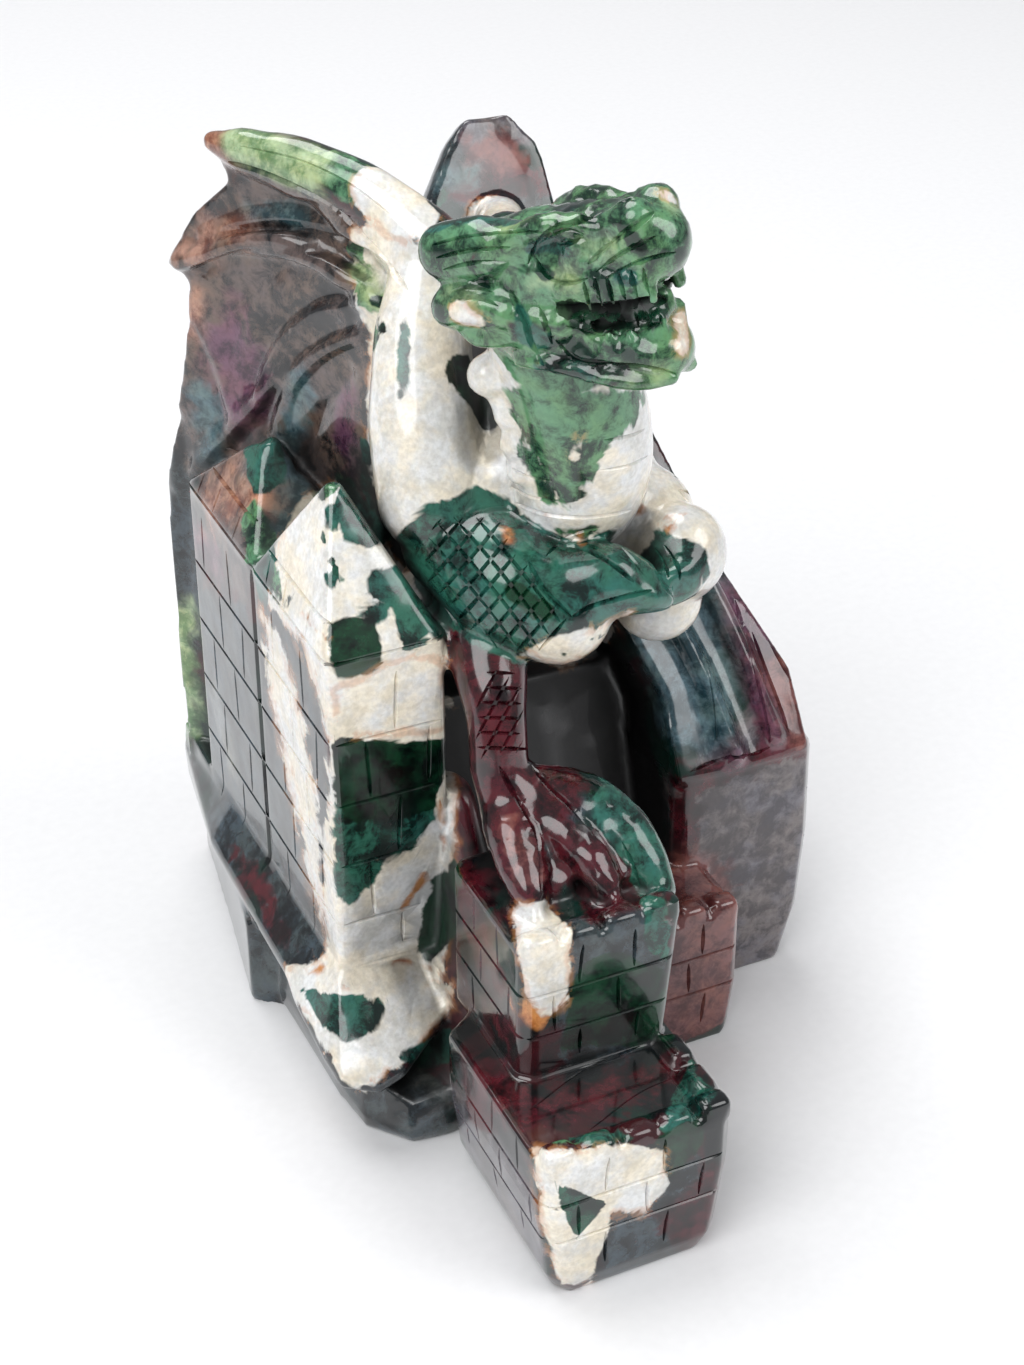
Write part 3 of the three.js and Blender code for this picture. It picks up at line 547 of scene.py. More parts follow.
def buildWings():
    t, f = wings["thickness"], wings["finger"]
    wing([
        [[-20.2, 49.6, 120.2], [-2, 20, 115], 0.7 * t], [[-18.6, 47.1, 114.3], [-3.5, 20, 109], 0.8 * t],
        [[-22.2, 52.5, 108.4], [-5, 19, 105], 0.8 * t], [[-24.8, 56.4, 101], [-6.4, 19, 101], 0.8 * t],
        [[-22.9, 53.6, 98.4], [-6.8, 19, 98], 0.8 * t], [[-24, 55.2, 86.6], [-8, 19, 88], 0.9 * t],
        [[-26.7, 59.2, 66.7], [-9, 22, 70], t], [[-27, 59.6, 38.1], [-11, 30, 42], 1.2 * t],
        [[-26, 60.5, 12], [-13, 40, 12], 1.4 * t],
    ], (-0.83, -0.56, 0), 2.4)
    limb([[-1.5, 21.8, 111.6, 4.4, 5.6], [-6, 28.7, 115.6, 3.6, 5.2], [-11.4, 36.6, 118.2, 3, 4.4],
          [-16.5, 44.4, 119, 2.4, 3.2], [-19.6, 48.8, 119.4, 1.4, 1.6]])
    limb([[-6.5, 25, 104, 1.5 * f, 1.4 * f], [-12, 35.5, 107.6, 1.2 * f, 1.1 * f],
          [-19, 47.5, 105.4, f, 0.9 * f], [-23.7, 54.9, 101.2, 0.8 * f, 0.8 * f]])
    limb([[-7, 26, 101, 1.3 * f, 1.2 * f], [-11, 34, 95, f, f], [-18, 46, 82, 0.9 * f, 0.9 * f],
          [-25.5, 57.6, 66, 0.7 * f, 0.7 * f]])
    wl, wr = castle["wallLeft"], castle["wallRight"]
    foot = [castle["wallFront"] - 0.9, castle["wallHeight"] - 0.4]
    wing([
        [[16.8, 50.4, 116.4], [23.0, 50.2, 116.2], t], [[13.8, 49.3, 113.8], [26.6, 47.8, 112.0], t],
        [[8.4, 45, 107.5], [27.0, 43.6, 105.5], 1.2 * t], [[7.4, 41, 103], [27.4, 39.4, 100], 1.4 * t],
        [[10, 32, 90], [30, 31.6, 88], 1.7 * t], [[14, 23, 76], [33.6, 23.8, 76.5], 2 * t],
        [[20, 14, 62], [39, 13, 60], 2.6 * t], [[25, 5, 48.5], [45.2, 4.6, 47.6], 4 * t],
        [[wl, *foot], [wr - 1.6, *foot], 6 * t],
    ], (0, -0.83, 0.55), 0.6)
    limb([[10, 22, 103, 4.4, 4.6], [14, 33, 104.4, 3.8, 4], [18.4, 43, 104.6, 3.2, 2.8]])
    limb([[27, 13, 62, f, f], [31, 6.4, 51, f, 0.9 * f], [33.8, -0.8, 39, 0.9 * f, 0.9 * f]])
    limb([[31, 19, 71, f, f], [37, 9, 55, f, 0.9 * f], [40.4, -0.2, 40, 0.9 * f, 0.9 * f]])


buildTorso()
buildHead()
buildArms()
buildHindLeg()
buildWings()
print("dragon formed")


# Melting the forms into one skin, and polishing it

polish = {
    "voxel": 0.46,
    "castleRounds": 3,
    "headRounds": 2,
    "dragonRounds": 12,
    "faces": 76000,
    "longest": 3.2,
}


def applyModifier(piece, name):
    bpy.context.view_layer.objects.active = piece
    with bpy.context.temp_override(object=piece, active_object=piece, selected_objects=[piece]):
        bpy.ops.object.modifier_apply(modifier=name)


def readPoints(data):
    co = np.empty(len(data.vertices) * 3, np.float32)
    data.vertices.foreach_get("co", co)
    return co.reshape(-1, 3).astype(float)


def readNormals(data):
    normals = np.empty(len(data.vertices) * 3, np.float32)
    data.vertices.foreach_get("normal", normals)
    return normals.reshape(-1, 3)


def writePoints(data, points):
    data.vertices.foreach_set("co", np.asarray(points, np.float32).ravel())
    data.update()


piece = bpy.data.objects.new("polished_carving", clay.mesh("polished_carving"))
bpy.context.scene.collection.objects.link(piece)
melt = piece.modifiers.new("melt", "REMESH")
melt.mode = "VOXEL"
melt.voxel_size = polish["voxel"]
applyModifier(piece, "melt")
print("melted", len(piece.data.vertices))


# how many rounds of smoothing a place takes: few on sharp masonry and on the head
def softness(p):
    x, y, z = p[:, 0], p[:, 1], p[:, 2]
    rounds = np.full(len(p), float(polish["dragonRounds"]))
    nearHead = np.linalg.norm(p - (head["at"] + headForward * 7), axis=1)
    rounds = np.where(nearHead < 17, polish["headRounds"], rounds)
    inTower = (x < castle["towerRight"] + 0.8) & (y > castle["towerFront"] - 1.5) & (z < 90)
    inTower &= (0.83 * (x + 20.5) + 0.56 * (y - 50) < -2.0) | (z < 24)
    low = (z < castle["stepHeight"] + 3) | ((y < -10) & (z < 44) & (x > -30))
    wall = (x > castle["wallLeft"] - 1) & (z < castle["wallHeight"] - 1)
    return np.where(inTower | low | wall, polish["castleRounds"], rounds)


def smoothSkin(data):
    edges = np.empty(len(data.edges) * 2, np.int32)
    data.edges.foreach_get("vertices", edges)
    a, b = edges[0::2], edges[1::2]
    points = readPoints(data)
    n = len(points)
    degree = np.maximum(np.bincount(a, minlength=n) + np.bincount(b, minlength=n), 1)
    rounds = softness(points)
    for r in range(int(max(rounds))):
        pull = np.clip(rounds - r, 0, 1)[:, None] * 0.55
        mean = np.empty_like(points)
        for k in range(3):
            c = points[:, k]
            mean[:, k] = (np.bincount(a, c[b], n) + np.bincount(b, c[a], n)) / degree
        points += (mean - points) * pull
    points[:, 2] = np.maximum(points[:, 2], 0.0)
    writePoints(data, points)


# Tool marks that the polish left, on the head and the foot
def chisel(data):
    points = readPoints(data)
    normals = readNormals(data)
    places = [(head["at"] + headForward * 7, 15.0, 0.42), (np.array([-1.0, -18.0, 48.0]), 13.0, 0.3)]
    for centre, reach, depth in places:
        away = np.linalg.norm(points - centre, axis=1)
        for i in np.nonzero(away < reach)[0]:
            fade = min(1.0, (reach - away[i]) / 4)
            p = Vector(points[i])
            cut = noise.voronoi(p * 0.42)[0][0] - 0.45 + 0.5 * noise.noise(p * 0.9)
            points[i] += normals[i] * cut * depth * fade
    writePoints(data, points)


def growTree(data):
    return BVHTree.FromPolygons([v.co.copy() for v in data.vertices],
                                [list(f.vertices) for f in data.polygons])


def landing(ray, a, b, facing=0.0):
    origin, direction = ray(a, b)
    place, normal = tree.ray_cast(Vector(origin), Vector(direction))[:2]
    if place is None or abs(normal.dot(Vector(direction))) < facing:
        return None
    if normal.dot(Vector(direction)) > 0:
        normal = -normal
    return np.array(place), np.array(normal)


def distanceToLine(points, line):
    best = np.full(len(points), 1e9)
    for a, b in zip(line[:-1], line[1:]):
        ab = b - a
        t = np.clip((points - a) @ ab / max(ab @ ab, 1e-9), 0, 1)
        best = np.minimum(best, np.linalg.norm(points - a - t[:, None] * ab, axis=1))
    return best


# Soft ridges and folds on the right wing, as lines in the picture with a half width and a rise in mm
ribs = [
    ([(368, 258), (324, 239), (282, 238), (236, 242), (200, 257), (178, 262)], 1.3, 0.8),
    ([(372, 246), (330, 225), (282, 217), (240, 223), (205, 236)], 1.3, 0.7),
    ([(372, 252), (328, 232), (282, 228), (238, 233), (204, 247)], 0.9, -0.6),
    ([(372, 236), (330, 212), (290, 205), (250, 206)], 1.4, -0.5),
    ([(366, 268), (326, 250), (282, 249), (240, 253), (206, 266)], 1.1, -0.6),
    ([(352, 294), (316, 299), (284, 320), (262, 352), (250, 384)], 1.2, -0.7),
    ([(354, 303), (322, 310), (292, 331), (270, 362), (258, 394)], 1.3, 0.6),
    ([(352, 326), (320, 338), (292, 363), (272, 400), (262, 440)], 1.2, -0.7),
    ([(354, 336), (326, 348), (300, 374), (281, 410), (272, 446)], 1.3, 0.6),
    ([(348, 374), (326, 405), (310, 440), (300, 470)], 1.3, -0.6),
    ([(286, 262), (258, 290), (240, 320), (228, 350)], 1.2, -0.4),
    ([(190, 322), (206, 360), (218, 400), (222, 436)], 1.4, -0.5),
    ([(192, 320), (214, 362), (228, 404)], 1.2, 0.4),
    ([(178, 420), (184, 470), (186, 540), (186, 620)], 1.6, -0.6),
]


def raiseRibs(data):
    points = readPoints(data)
    normals = readNormals(data)
    for line, half, rise in ribs:
        way = [curveAt(np.array(line, float), t) for t in np.linspace(0, 1, 13)]
        spots = [landing(photoRay, *place) for place in way]
        spots = [spot[0] for spot in spots if spot is not None]
        if len(spots) > 2:
            away = distanceToLine(points, spots)
            points += normals * (rise * np.exp(-(away / half) ** 2))[:, None]
    writePoints(data, points)


smoothSkin(piece.data)
tree = growTree(piece.data)
raiseRibs(piece.data)
chisel(piece.data)
thin = piece.modifiers.new("thin", "DECIMATE")
thin.ratio = min(1.0, polish["faces"] / max(1, 2 * len(piece.data.polygons)))
applyModifier(piece, "thin")
print("polished", len(piece.data.polygons))


# Carving lines into the skin. A line is drawn along rays, and a small blade follows where they land.

tree = growTree(piece.data)
blades = Clay()


def sweepBlade(points, normals, width, depth):
    if len(points) < 3:
        return
    points, normals = np.array(points), np.array(normals)
    for _ in range(2):
        inner = (normals[:-2] + normals[1:-1] * 2 + normals[2:])
        normals[1:-1] = inner / np.maximum(np.linalg.norm(inner, axis=1), 1e-6)[:, None]
        points[1:-1] = points[1:-1] * 0.5 + (points[:-2] + points[2:]) * 0.25
    n = len(points)
    rings = []
    for i in range(n):
        tangent = unit(points[min(i + 1, n - 1)] - points[max(i - 1, 0)])
        normal = unit(normals[i] - tangent * tangent.dot(normals[i]))
        side = np.cross(normal, tangent)
        ends = min(i, n - 1 - i) / 1.5
        size = min(1.0, 0.35 + 0.65 * ends)
        half, deep = width * 0.5 * size, depth * size
        rings.append([points[i] + side * half * 1.35 + normal * 0.18, points[i] + normal * 0.8,
                      points[i] - side * half * 1.35 + normal * 0.18, points[i] - normal * deep])
    blades.loft(rings)


# A line drawn through points of a ray's two numbers. It breaks where the skin jumps.
def carve(ray, line, width=0.7, depth=0.45, step=0.9, keep=None, smooth=True):
    line = np.array(line, float)
    perUnit = view["pixelsPerMm"] if ray is photoRay else 1.0
    length = np.sum(np.linalg.norm(np.diff(line, axis=0), axis=1)) / perUnit
    count = max(4, int(length / step))
    points, normals = [], []

    def close():
        sweepBlade(points, normals, width, depth)
        points.clear()
        normals.clear()

    for i in range(count + 1):
        t = i / count
        if smooth and len(line) > 2:
            a, b = curveAt(line, t)
        else:
            place = t * (len(line) - 1)
            k = min(int(place), len(line) - 2)
            a, b = line[k] + (line[k + 1] - line[k]) * (place - k)
        hit = landing(ray, a, b, 0.22)
        if hit is None or (keep is not None and not keep(hit[0], a, b)):
            close()
            continue
        if points and np.linalg.norm(hit[0] - points[-1]) > 2.6 * step + 0.6:
            close()
        points.append(hit[0])
        normals.append(hit[1])
    close()


joint = {"width": 0.6, "depth": 0.45, "reach": 1.1}   # a joint's groove, and how far off its face it may lie


# Brick joints on one face: level lines, and uprights that step from row to row
def bricks(ray, face, axis, start, end, heights, length):
    width, depth = joint["width"], joint["depth"]

    def keep(p, a, b):
        return abs(p[axis] - face) < joint["reach"]

    for z in heights[1:-1]:
        carve(ray, [(start - 1, z), (end + 1, z)], width, depth, keep=keep, smooth=False)
    for row in range(len(heights) - 1):
        low, high = heights[row] + 0.5, heights[row + 1] - 0.5
        at = start + length * (0.55 if row % 2 else 1.0)
        i = 0
        while at < end - 0.25 * length:
            lean = 0.25 * math.sin(3.7 * row + 2.1 * i)
            carve(ray, [(at - lean, low), (at + lean, high)], width * 1.1, depth, 0.8, keep, False)
            at += length * (1 + 0.12 * math.sin(2.3 * i + 1.9 * row))
            i += 1


def carveCastle():
    c = castle
    courses = [20.8, 30, 39.5, 49, 58.5, 68]
    tl, tf, seam, tb = c["towerLeft"], c["towerFront"], c["towerSeam"], c["towerBack"]
    bricks(fromLeft, tl, 0, tf, seam - 0.6, courses, 9.5)
    bricks(fromLeft, tl, 0, seam + 0.6, tb, courses, 9.5)
    carve(fromLeft, [(seam, 21), (seam, 70)], 1.3, 1.0, smooth=False)
    bricks(fromFront, tf, 1, tl, c["towerRight"], courses, 9.0)
    roof = lambda p, a, b: p[0] < c["towerRight"] + 1 and p[2] > 66
    for far in (seam, tb):
        near = tf if far == seam else seam
        carve(fromLeft, [(near, 70.6), (far, 70.6)], 0.7, 0.4, keep=roof, smooth=False)
        carve(fromLeft, [(near + 1.5, 75), (far - 1.5, 75)], 0.7, 0.4, keep=roof, smooth=False)
        for y in (near + 7, near + 15, near + 21):
            carve(fromLeft, [(y, 71), (y + 0.4, 74.5)], 0.6, 0.4, keep=roof, smooth=False)
    carve(fromFront, [(tl, 70.6), (c["towerRight"], 70.6)], 0.6, 0.3, keep=roof, smooth=False)
    sl, sr, sf, sh = c["stepLeft"], c["stepRight"], c["stepFront"], c["stepHeight"]
    low = [sh - 18.6, sh - 12.4, sh - 6.2, sh]
    bricks(fromFront, sf, 1, sl, sr, low, 8.5)
    bricks(fromLeft, sl, 0, sf, sf + c["stepDepth"], low, 8.0)
    bricks(fromRight, sr, 0, sf, sf + c["stepDepth"], low, 8.0)
    uf, ut = c["upperFront"], c["upperTop"]
    upper = [sh, sh + 6.6, sh + 13.2, ut]
    bricks(fromFront, uf, 1, sl + 4.5, sr, upper, 8.0)
    bricks(fromLeft, sl + 4.5, 0, uf, uf + 20, upper, 7.5)
    bricks(fromRight, sr, 0, uf, uf + 18, upper, 7.5)
    side = [c["sideHeight"] - 18.6, c["sideHeight"] - 12.4, c["sideHeight"] - 6.2, c["sideHeight"]]
    bricks(fromFront, c["sideFront"], 1, sr + 0.5, c["sideRight"], side, 7.5)
    bricks(fromRight, c["sideRight"], 0, c["sideFront"], c["wallFront"] - 0.5, side, 6)
    wall = [4, 12.5, 21, 29.5, 38]
    bricks(fromRight, c["wallRight"], 0, c["wallFront"], c["back"] - 6, wall, 10.5)
    bricks(fromBack, c["back"] - 4, 1, c["wallLeft"] + 6, c["wallRight"] - 1, wall, 9)
    bricks(fromBack, 65, 1, tl, c["towerRight"], [2, 10, 18], 8)


def inside(outline):
    outline = np.array(outline, float)

    def test(p, a, b):
        x0, y0 = outline[:, 0], outline[:, 1]
        x1, y1 = np.roll(x0, -1), np.roll(y0, -1)
        cross = (y0 > b) != (y1 > b)
        with np.errstate(divide="ignore", invalid="ignore"):
            at = x0 + (b - y0) * (x1 - x0) / np.where(y1 == y0, 1e-9, y1 - y0)
        return bool(np.sum(cross & (a < at)) % 2)

    return test


# Scales: two families of parallel lines across an outline
def scales(ray, outline, centre, families, width=0.55, depth=0.4, step=0.9):
    test = inside(outline)
    reach = max(np.linalg.norm(np.array(outline) - np.array(centre), axis=1)) + 1
    for angle, spacing, bend in families:
        along = np.array([math.cos(math.radians(angle)), math.sin(math.radians(angle))])
        across = np.array([-along[1], along[0]])
        for k in range(-int(reach / spacing), int(reach / spacing) + 1):
            middle = np.array(centre) + across * k * spacing
            line = [middle + along * s * reach + across * bend * s * s * reach for s in np.linspace(-1,
                                                                                                    1, 9)]
            carve(ray, line, width, depth, step, test)


def carveDragon():
    armOutline = [(434, 516), (470, 514), (503, 522), (512, 545), (530, 566), (545, 592), (570, 617),
                  (556, 634), (543, 655), (500, 652), (458, 628), (428, 596), (422, 560)]
    scales(photoRay, armOutline, (490, 585), [(51, 16.5, 0.03), (-49, 16.0, -0.05)], 0.5, 0.42)
    legOutline = [(488, 668), (520, 672), (528, 700), (530, 757), (476, 760), (474, 715)]
    scales(photoRay, legOutline, (503, 718), [(2, 15, 0.0), (118, 14, 0.0)], 0.45, 0.32)
    photoLines = [
        # the right paw: its cuff, its ridge and the gaps between its fingers
        ([(529, 562), (536, 578), (549, 596), (572, 617)], 0.8, 0.5),
        ([(546, 556), (560, 541), (578, 532), (600, 528)], 0.6, 0.35),
        ([(553, 546), (575, 545), (599, 556), (618, 568), (634, 582)], 0.8, 0.5),
        ([(590, 531), (612, 541), (630, 556), (643, 574)], 0.6, 0.35),
        ([(572, 617), (592, 606), (613, 600), (652, 590)], 0.8, 0.5),
        # the left paw
        ([(655, 548), (664, 560), (668, 578)], 0.6, 0.4),
        ([(664, 545), (676, 560), (680, 580)], 0.6, 0.4),
        # the foot's toes
        ([(499, 766), (515, 796), (538, 836), (541, 893)], 0.8, 0.5),
        ([(528, 760), (548, 786), (573, 809), (606, 846)], 0.8, 0.5),
        ([(622, 842), (632, 862), (640, 886)], 0.6, 0.4),
        # plates on the throat
        ([(512, 468), (530, 478), (552, 480)], 0.5, 0.3),
        ([(510, 486), (530, 497), (560, 500)], 0.5, 0.3),
        ([(515, 503), (545, 514), (590, 517), (640, 508)], 0.7, 0.4),
        ([(600, 470), (628, 466), (648, 455)], 0.5, 0.25),
        ([(604, 440), (630, 436), (650, 426)], 0.5, 0.25),
        # head: horn, brow, eye, snout, mouth, jaw and ear
        ([(432, 245), (468, 236), (505, 232), (545, 232)], 0.6, 0.35),
        ([(436, 258), (470, 250), (510, 247)], 0.6, 0.35),
        ([(443, 270), (474, 262), (508, 262)], 0.6, 0.3),
        ([(528, 264), (538, 242), (556, 227), (580, 221), (602, 212)], 0.8, 0.55),
        ([(545, 240), (556, 231), (570, 229), (584, 234)], 0.6, 0.4),
        ([(545, 240), (558, 246), (574, 243), (584, 234)], 0.6, 0.4),
        ([(536, 258), (546, 276), (566, 284), (588, 278)], 0.7, 0.45),
        ([(588, 264), (602, 250), (620, 237), (640, 222), (654, 212)], 0.8, 0.5),
        ([(596, 272), (614, 258), (634, 246), (656, 236)], 0.6, 0.35),
        ([(606, 278), (626, 267), (650, 258), (676, 252)], 0.6, 0.35),
        ([(604, 208), (630, 200), (652, 197)], 0.6, 0.35),
        ([(676, 214), (686, 207), (695, 216)], 0.7, 0.45),
        ([(676, 214), (684, 225), (695, 216)], 0.7, 0.45),
        ([(688, 234), (694, 246), (700, 256)], 0.5, 0.3),
        ([(556, 306), (580, 311), (606, 312), (640, 306), (668, 298)], 2.0, 1.9),
        ([(566, 326), (598, 334), (636, 330), (662, 322)], 0.6, 0.4),
        ([(556, 340), (570, 356), (604, 364), (640, 366), (676, 374)], 0.7, 0.45),
        ([(534, 300), (546, 322), (552, 344)], 0.7, 0.45),
        ([(510, 290), (524, 318), (532, 345), (548, 372)], 0.8, 0.5),
        ([(458, 300), (478, 296), (498, 306)], 0.7, 0.45),
        ([(450, 292), (470, 286), (492, 292)], 0.6, 0.35),
    ]
    photoLines += [([(x, y), (x + 2, y + 13), (x + 7, y + 28)], 0.7, 0.55)  # between the upper teeth
                   for x, y in ((584, 282), (595, 278), (607, 276), (619, 273), (631, 270), (643, 268),
                                (655, 268))]
    photoLines += [([(x, 314), (x + 3, 327)], 0.6, 0.4) for x in (636, 648, 660)]
    photoLines += [
        # right wing: under its leading edge
        ([(222, 160), (272, 176), (334, 208), (374, 247), (408, 290)], 0.9, 0.5),
        ([(240, 146), (300, 160), (350, 184), (390, 214)], 0.5, 0.2),
        # left wing: the folds of its lower sheet and its scalloped hem
        ([(735, 600), (750, 650), (762, 700), (770, 742)], 0.7, 0.4),
        ([(752, 632), (766, 670), (780, 706), (789, 733)], 0.6, 0.35),
        ([(768, 640), (786, 672), (802, 704), (812, 730)], 0.6, 0.35),
        ([(700, 640), (712, 690), (716, 740)], 0.4, 0.2),
        ([(690, 772), (722, 758), (752, 755), (770, 747)], 0.7, 0.45),
        # the castle's worn slabs
        ([(530, 1110), (580, 1072), (640, 1046)], 0.5, 0.25),
        ([(590, 1130), (640, 1092), (672, 1078)], 0.4, 0.2),
    ]
    for line, width, depth in photoLines:
        carve(photoRay, line, width, depth)


# The sides that the photograph doesn't show
def carveHidden():
    finBehind = lambda p, a, b: p[2] > 14
    for k in range(7):  # fingers of the right wing, from behind
        x = -9 - 2.2 * k
        carve(fromBack, [(-4 - 0.8 * k, 108 - 7 * k), (x, 84 - 5 * k), (x - 4.5, 52 - 5 * k)], 0.7, 0.4,
              keep=finBehind)
    for k in range(5):  # and of the left wing
        carve(fromBack, [(13 + 1.2 * k, 104 - 3 * k), (17 + 2.4 * k, 84), (21 + 3.6 * k, 60)], 0.7, 0.4,
              keep=finBehind)
    families = [(52, 2.6, 0.03), (-52, 2.6, 0.03)]
    rightThigh = [(-12, 30), (-4, 26), (2, 34), (2, 52), (-4, 60), (-12, 54)]
    leftThigh = [(24, 30), (16, 26), (11, 34), (11, 52), (16, 60), (24, 54)]
    scales(fromBack, rightThigh, (-5, 43), families, 0.5, 0.4)
    scales(fromBack, leftThigh, (17, 43), families, 0.5, 0.4)
    for k in range(9):  # rings round the tail
        x = 8 + 3.8 * k
        carve(fromBack, [(x, 3 + 0.4 * k), (x + 0.8, 9), (x, 16 - 0.3 * k)], 0.7, 0.4)
    arm = [(-2, 69), (6, 66), (11, 72), (11, 80), (4, 84), (-3, 80)]
    scales(fromRight, arm, (4, 75), [(50, 2.3, 0.02), (-50, 2.3, 0.02)], 0.5, 0.4)


carveCastle()
carveDragon()
carveHidden()
knife = bpy.data.objects.new("knife", blades.mesh("knife"))
bpy.context.scene.collection.objects.link(knife)
engrave = piece.modifiers.new("engrave", "BOOLEAN")
engrave.operation = "DIFFERENCE"
engrave.object = knife
engrave.solver = "MANIFOLD"
before = len(piece.data.polygons)
applyModifier(piece, "engrave")
bpy.data.objects.remove(knife)


# Flat faces come out of the thinning with few points, too few for the stone's patches
def splitLongEdges(data):
    form = bmesh.new()
    form.from_mesh(data)
    bmesh.ops.triangulate(form, faces=form.faces[:])
    for _ in range(4):
        long = [e for e in form.edges if e.calc_length() > polish["longest"]]
        if not long:
            break
        bmesh.ops.subdivide_edges(form, edges=long, cuts=1)
        bmesh.ops.triangulate(form, faces=[f for f in form.faces if len(f.verts) > 3])
    form.to_mesh(data)
    form.free()
    data.validate()


splitLongEdges(piece.data)
print("engraved", before, len(piece.data.polygons))


# Stone, with painted shade and painted glow laid out like stone. Each kind has patches, as lines through
# places in the picture and a half width in mm.

def colour(r, g, b):
    def channel(c):
        c /= 255
        return c / 12.92 if c <= 0.04045 else ((c + 0.055) / 1.055) ** 2.4

    return (channel(r), channel(g), channel(b), 1.0)


stones = [
    # name, dark tone, light tone, raggedness in mm, softness of its edge in mm
    ("slate", colour(14, 20, 24), colour(62, 74, 80), 3.0, 0.9),
    ("mist", colour(52, 60, 60), colour(118, 122, 120), 3.0, 1.2),
    ("mauve", colour(62, 56, 62), colour(116, 110, 114), 3.0, 1.2),
    ("maroon", colour(20, 4, 8), colour(82, 24, 34), 2.4, 0.6),
    # painted shade, not a stone: near black laid where shade falls in the hollow under the dragon
    ("painted_shade", colour(2, 2, 3), colour(14, 9, 13), 2.4, 1.0),
    ("rose", colour(78, 36, 38), colour(130, 80, 76), 2.6, 0.9),
    ("membrane", colour(26, 26, 28), colour(104, 88, 82), 4.0, 1.2),
    # partly the wings' own purple, partly a painted glow as if light came through the thin wing
    ("plum_and_glow", colour(60, 30, 50), colour(118, 76, 96), 3.5, 2.2),
    ("sea", colour(34, 60, 68), colour(94, 120, 126), 2.8, 1.4),
    ("salmon", colour(126, 76, 60), colour(190, 142, 118), 2.6, 2.6),
    ("cream", colour(222, 216, 204), colour(240, 236, 228), 1.2, 0.26),
    ("moss", colour(3, 40, 28), colour(98, 148, 106), 1.8, 0.3),
    ("lime", colour(104, 136, 92), colour(178, 196, 150), 1.8, 1.4),
    ("teal", colour(3, 28, 24), colour(48, 106, 92), 1.1, 0.24),
    # dark green stone, and also painted shade in a dark gap
    ("pine_and_shade", colour(1, 12, 9), colour(18, 60, 40), 1.1, 0.24),
    ("rust", colour(150, 80, 34), colour(206, 140, 82), 1.2, 0.5),
    ("ivory", colour(222, 216, 204), colour(240, 236, 228), 1.0, 0.22),
    ("spruce", colour(2, 24, 20), colour(34, 88, 70), 0.8, 0.14),
]


def headPlaces(*places):
    return [tuple(onHead(*place)) for place in places]


